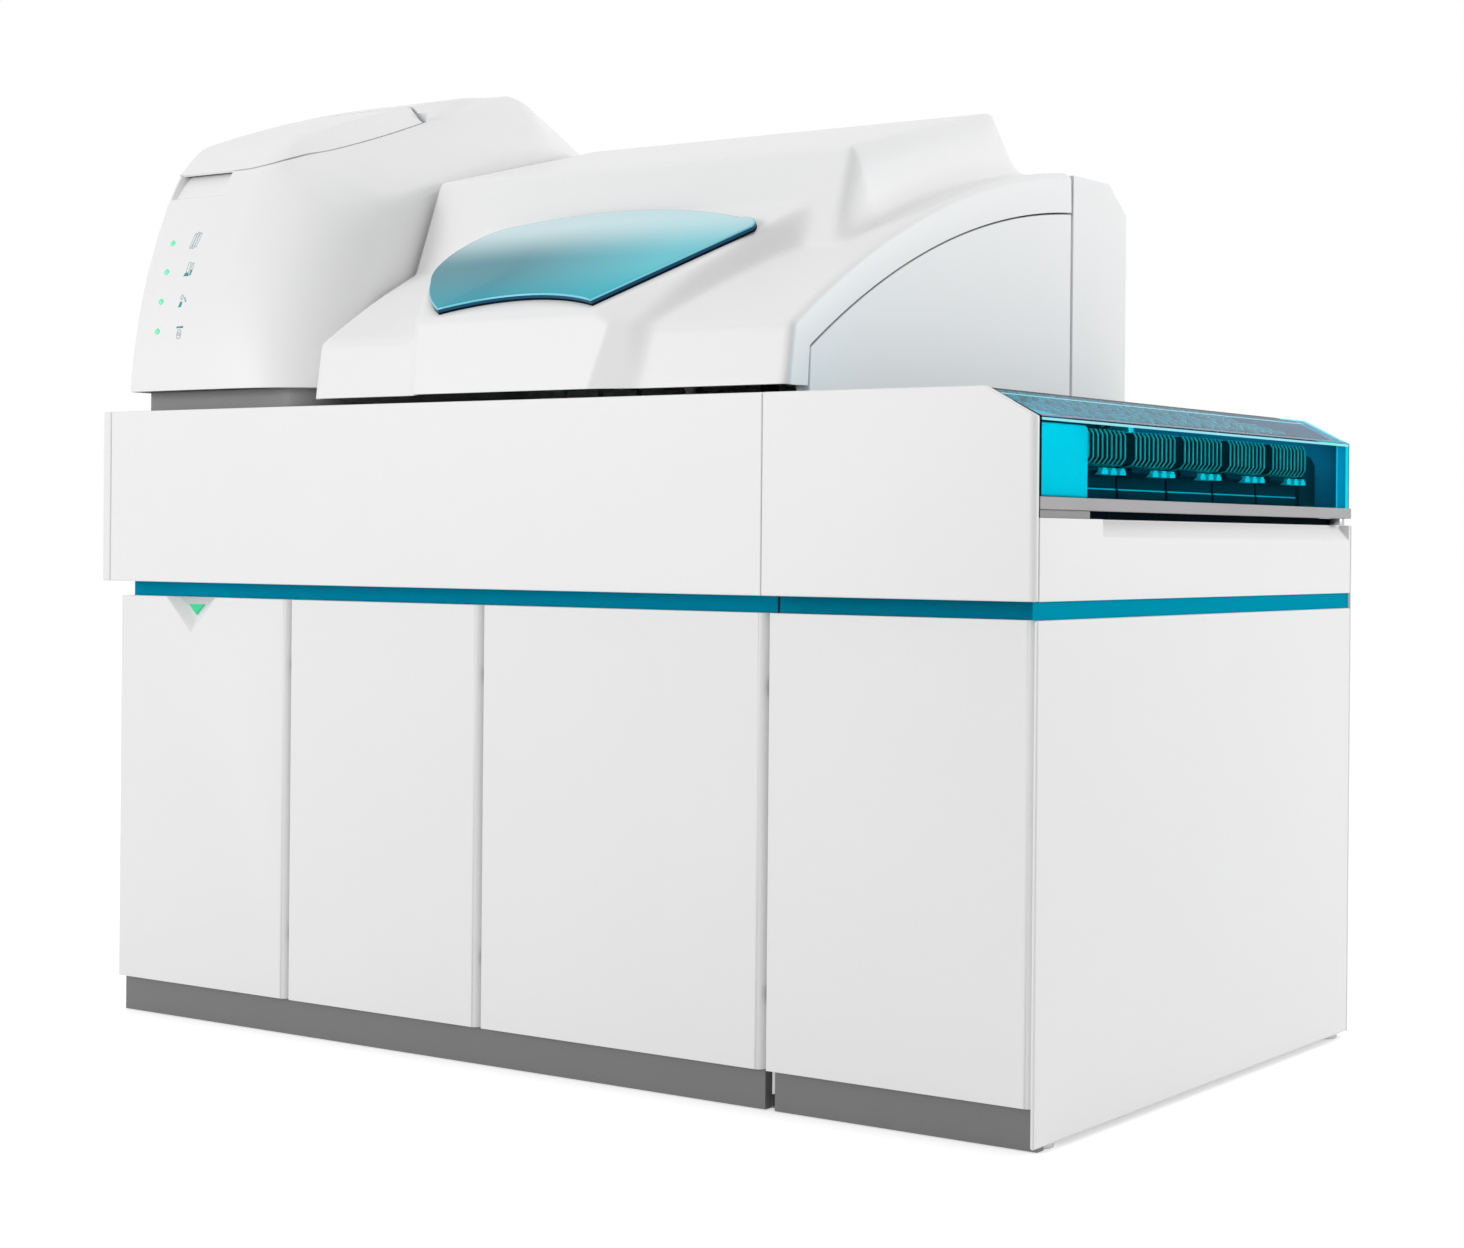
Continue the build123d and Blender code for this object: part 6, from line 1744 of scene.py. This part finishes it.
@dataclass
class Back(Assembly):
    """The rear panels with their countersunk screws."""

    face: float = 0.461
    head: float = 0.0046
    sides: int = 18
    smooth: float = 20.0
    fields: tuple[tuple[str, Flat, tuple[int, float], tuple[int, float]], ...] = (
        ("main_edge_screws", (-0.724, 0.022), (2, 1.103), (4, 0.271)),
        ("main_row_screws", (-0.356, 0.022), (2, 0.368), (2, 0.813)),
        ("loader_back_screws", (0.404, 0.022), (2, 0.346), (4, 0.2225)))

    def turned(self, mesh: Mesh, at: Flat, rings: Line) -> None:
        """Adds a turned form that points to the rear.

        Args:
            mesh: The mesh to add to.
            at: Its place in X and Z.
            rings: Radius of each ring and how far behind the panels' face it lies.
        """
        verts = add_turned(mesh, (0.0, 0.0), rings, self.sides)
        bmesh.ops.rotate(mesh, verts=verts, matrix=Matrix.Rotation(-math.pi / 2, 3, "X"))
        bmesh.ops.translate(mesh, verts=verts, vec=(at[0], self.face, at[1]))

    def build(self) -> None:
        """Sinks the screws' seats into the panels and sets the screws in them."""
        head = self.head
        seat = [(0.0024, -0.0026), (head + 0.0005, -0.0006), (head + 0.0005, 0.0006)]
        screw = [(0.0021, -0.0025), (head, -0.0007), (head, -0.0004), (head - 0.0004, -0.0002),
                 (0.0022, -0.0002), (0.0020, -0.0016)]
        panels = self.shop.piece("rear_panel_sheets", cleaned("rear_panels"), PANEL_WHITE)
        seats = bmesh.new()
        for name, (x, z), (columns, across), (rows, up) in self.fields:
            for column in range(columns):
                for row in range(rows):
                    self.turned(seats, (x + across * column, z + up * row), seat)
            unit = bmesh.new()
            self.turned(unit, (x, z), screw)
            levels = ((columns, (across, 0, 0)), (rows, (0, 0, up)))
            Setting(name, "rear_panels", STEEL, levels, replaces=False).lay(self.shop, unit)
        carve(panels, seats)
        mend(panels)
        shade(panels, self.smooth)
        self.shop.settle(panels, "rear_panels")


@dataclass(frozen=True)
class SoftBox:
    """A square soft box."""

    name: str
    place: Point
    target: Point
    size: float
    watts: float

    def hang(self) -> None:
        """Hangs the box and points it at its target."""
        lamp = bpy.data.lights.new(self.name, "AREA")
        lamp.shape, lamp.size, lamp.energy = "SQUARE", self.size, self.watts
        obj = bpy.data.objects.new(self.name, lamp)
        obj.location = self.place
        obj.rotation_euler = (Vector(self.target) - Vector(self.place)).to_track_quat("-Z", "Y").to_euler()
        bpy.context.scene.collection.objects.link(obj)


@dataclass
class Studio:
    """Pale floor, soft light and camera."""

    camera_at: Point = (2.16834, -3.05004, 0.68531)
    yaw: float = 35.071
    roll: float = 0.508
    lens: float = 64.75
    sensor: float = 36.0
    shift: float = -0.0569
    sky: float = 0.62
    floor_glow: float = 0.5
    boxes: tuple[SoftBox, ...] = (SoftBox("key", (-4.4, -7.0, 2.2), (0, 0, 0.7), 2.6, 218.0),
                                  SoftBox("fill", (6.2, 5.6, 2.7), (0.6, 0, 0.5), 2.4, 238.0),
                                  SoftBox("top", (0.3, 0.3, 5.2), (0, 0, 0.7), 3.6, 38.0))

    def floor(self) -> None:
        """Lays the floor, which shows white with the object's shadow on it."""
        mesh = bmesh.new()
        bmesh.ops.create_grid(mesh, x_segments=1, y_segments=1, size=40.0)
        graph = Graph("studio_floor")
        plain = graph.shader.outputs[0]
        tone = graph.blend(graph.noise(3.0), (0.78, 0.78, 0.78), (0.8, 0.8, 0.8))
        graph.feed(graph.shader, {"Roughness": 0.9, "Base Color": tone})
        glow = graph.add("ShaderNodeEmission", {"Strength": self.floor_glow})
        both = graph.add("ShaderNodeAddShader", {0: plain, 1: glow.outputs[0]})
        graph.show("Material Output", plain, both.outputs[0])
        obj = to_object("floor", mesh)
        obj.data.materials.append(graph.material)

    def light(self) -> None:
        """Sets the sky, which shows white, and the soft boxes."""
        world = bpy.data.worlds.new("studio_sky")
        world.use_nodes = True
        bpy.context.scene.world = world
        sky = Wiring(world.node_tree)
        dim = sky.tree.nodes["Background"]
        sky.feed(dim, {"Color": WHITE, "Strength": self.sky})
        shown = sky.add("ShaderNodeBackground", {"Color": WHITE, "Strength": 1.0})
        sky.show("World Output", dim.outputs[0], shown.outputs[0])
        for box in self.boxes:
            box.hang()

    def camera(self) -> None:
        """Sets the camera."""
        data = bpy.data.cameras.new("camera")
        data.lens, data.sensor_width, data.shift_y = self.lens, self.sensor, self.shift
        obj = bpy.data.objects.new("camera", data)
        turn = (Matrix.Rotation(math.radians(self.yaw), 4, "Z") @ Matrix.Rotation(math.radians(90), 4, "X")
                @ Matrix.Rotation(math.radians(self.roll), 4, "Z"))
        obj.matrix_world = Matrix.Translation(self.camera_at) @ turn
        bpy.context.scene.collection.objects.link(obj)
        bpy.context.scene.camera = obj

    def build(self) -> None:
        """Lays the floor, then sets the light and the camera."""
        self.floor()
        self.light()
        self.camera()


def main() -> None:
    """Builds the sub-assemblies in order."""
    logging.basicConfig(level=logging.INFO, format="%(message)s")
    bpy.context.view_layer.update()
    shop = Shop()
    shop.dress()
    Studio().build()
    for part in (Tower, Hood, Loader, Back):
        part(shop).build()
    for node, width in SOFT_EDGES.items():
        shop.soften(node, width, BY_SLOT[shop.slots[node]])
    for door in DOORS:
        shop.soften(door, DOOR_EDGE, PANEL_WHITE, ahead_of=DOOR_FRONT)
    bpy.context.scene.view_settings.view_transform = "Standard"


if __name__ == "__main__":
    main()
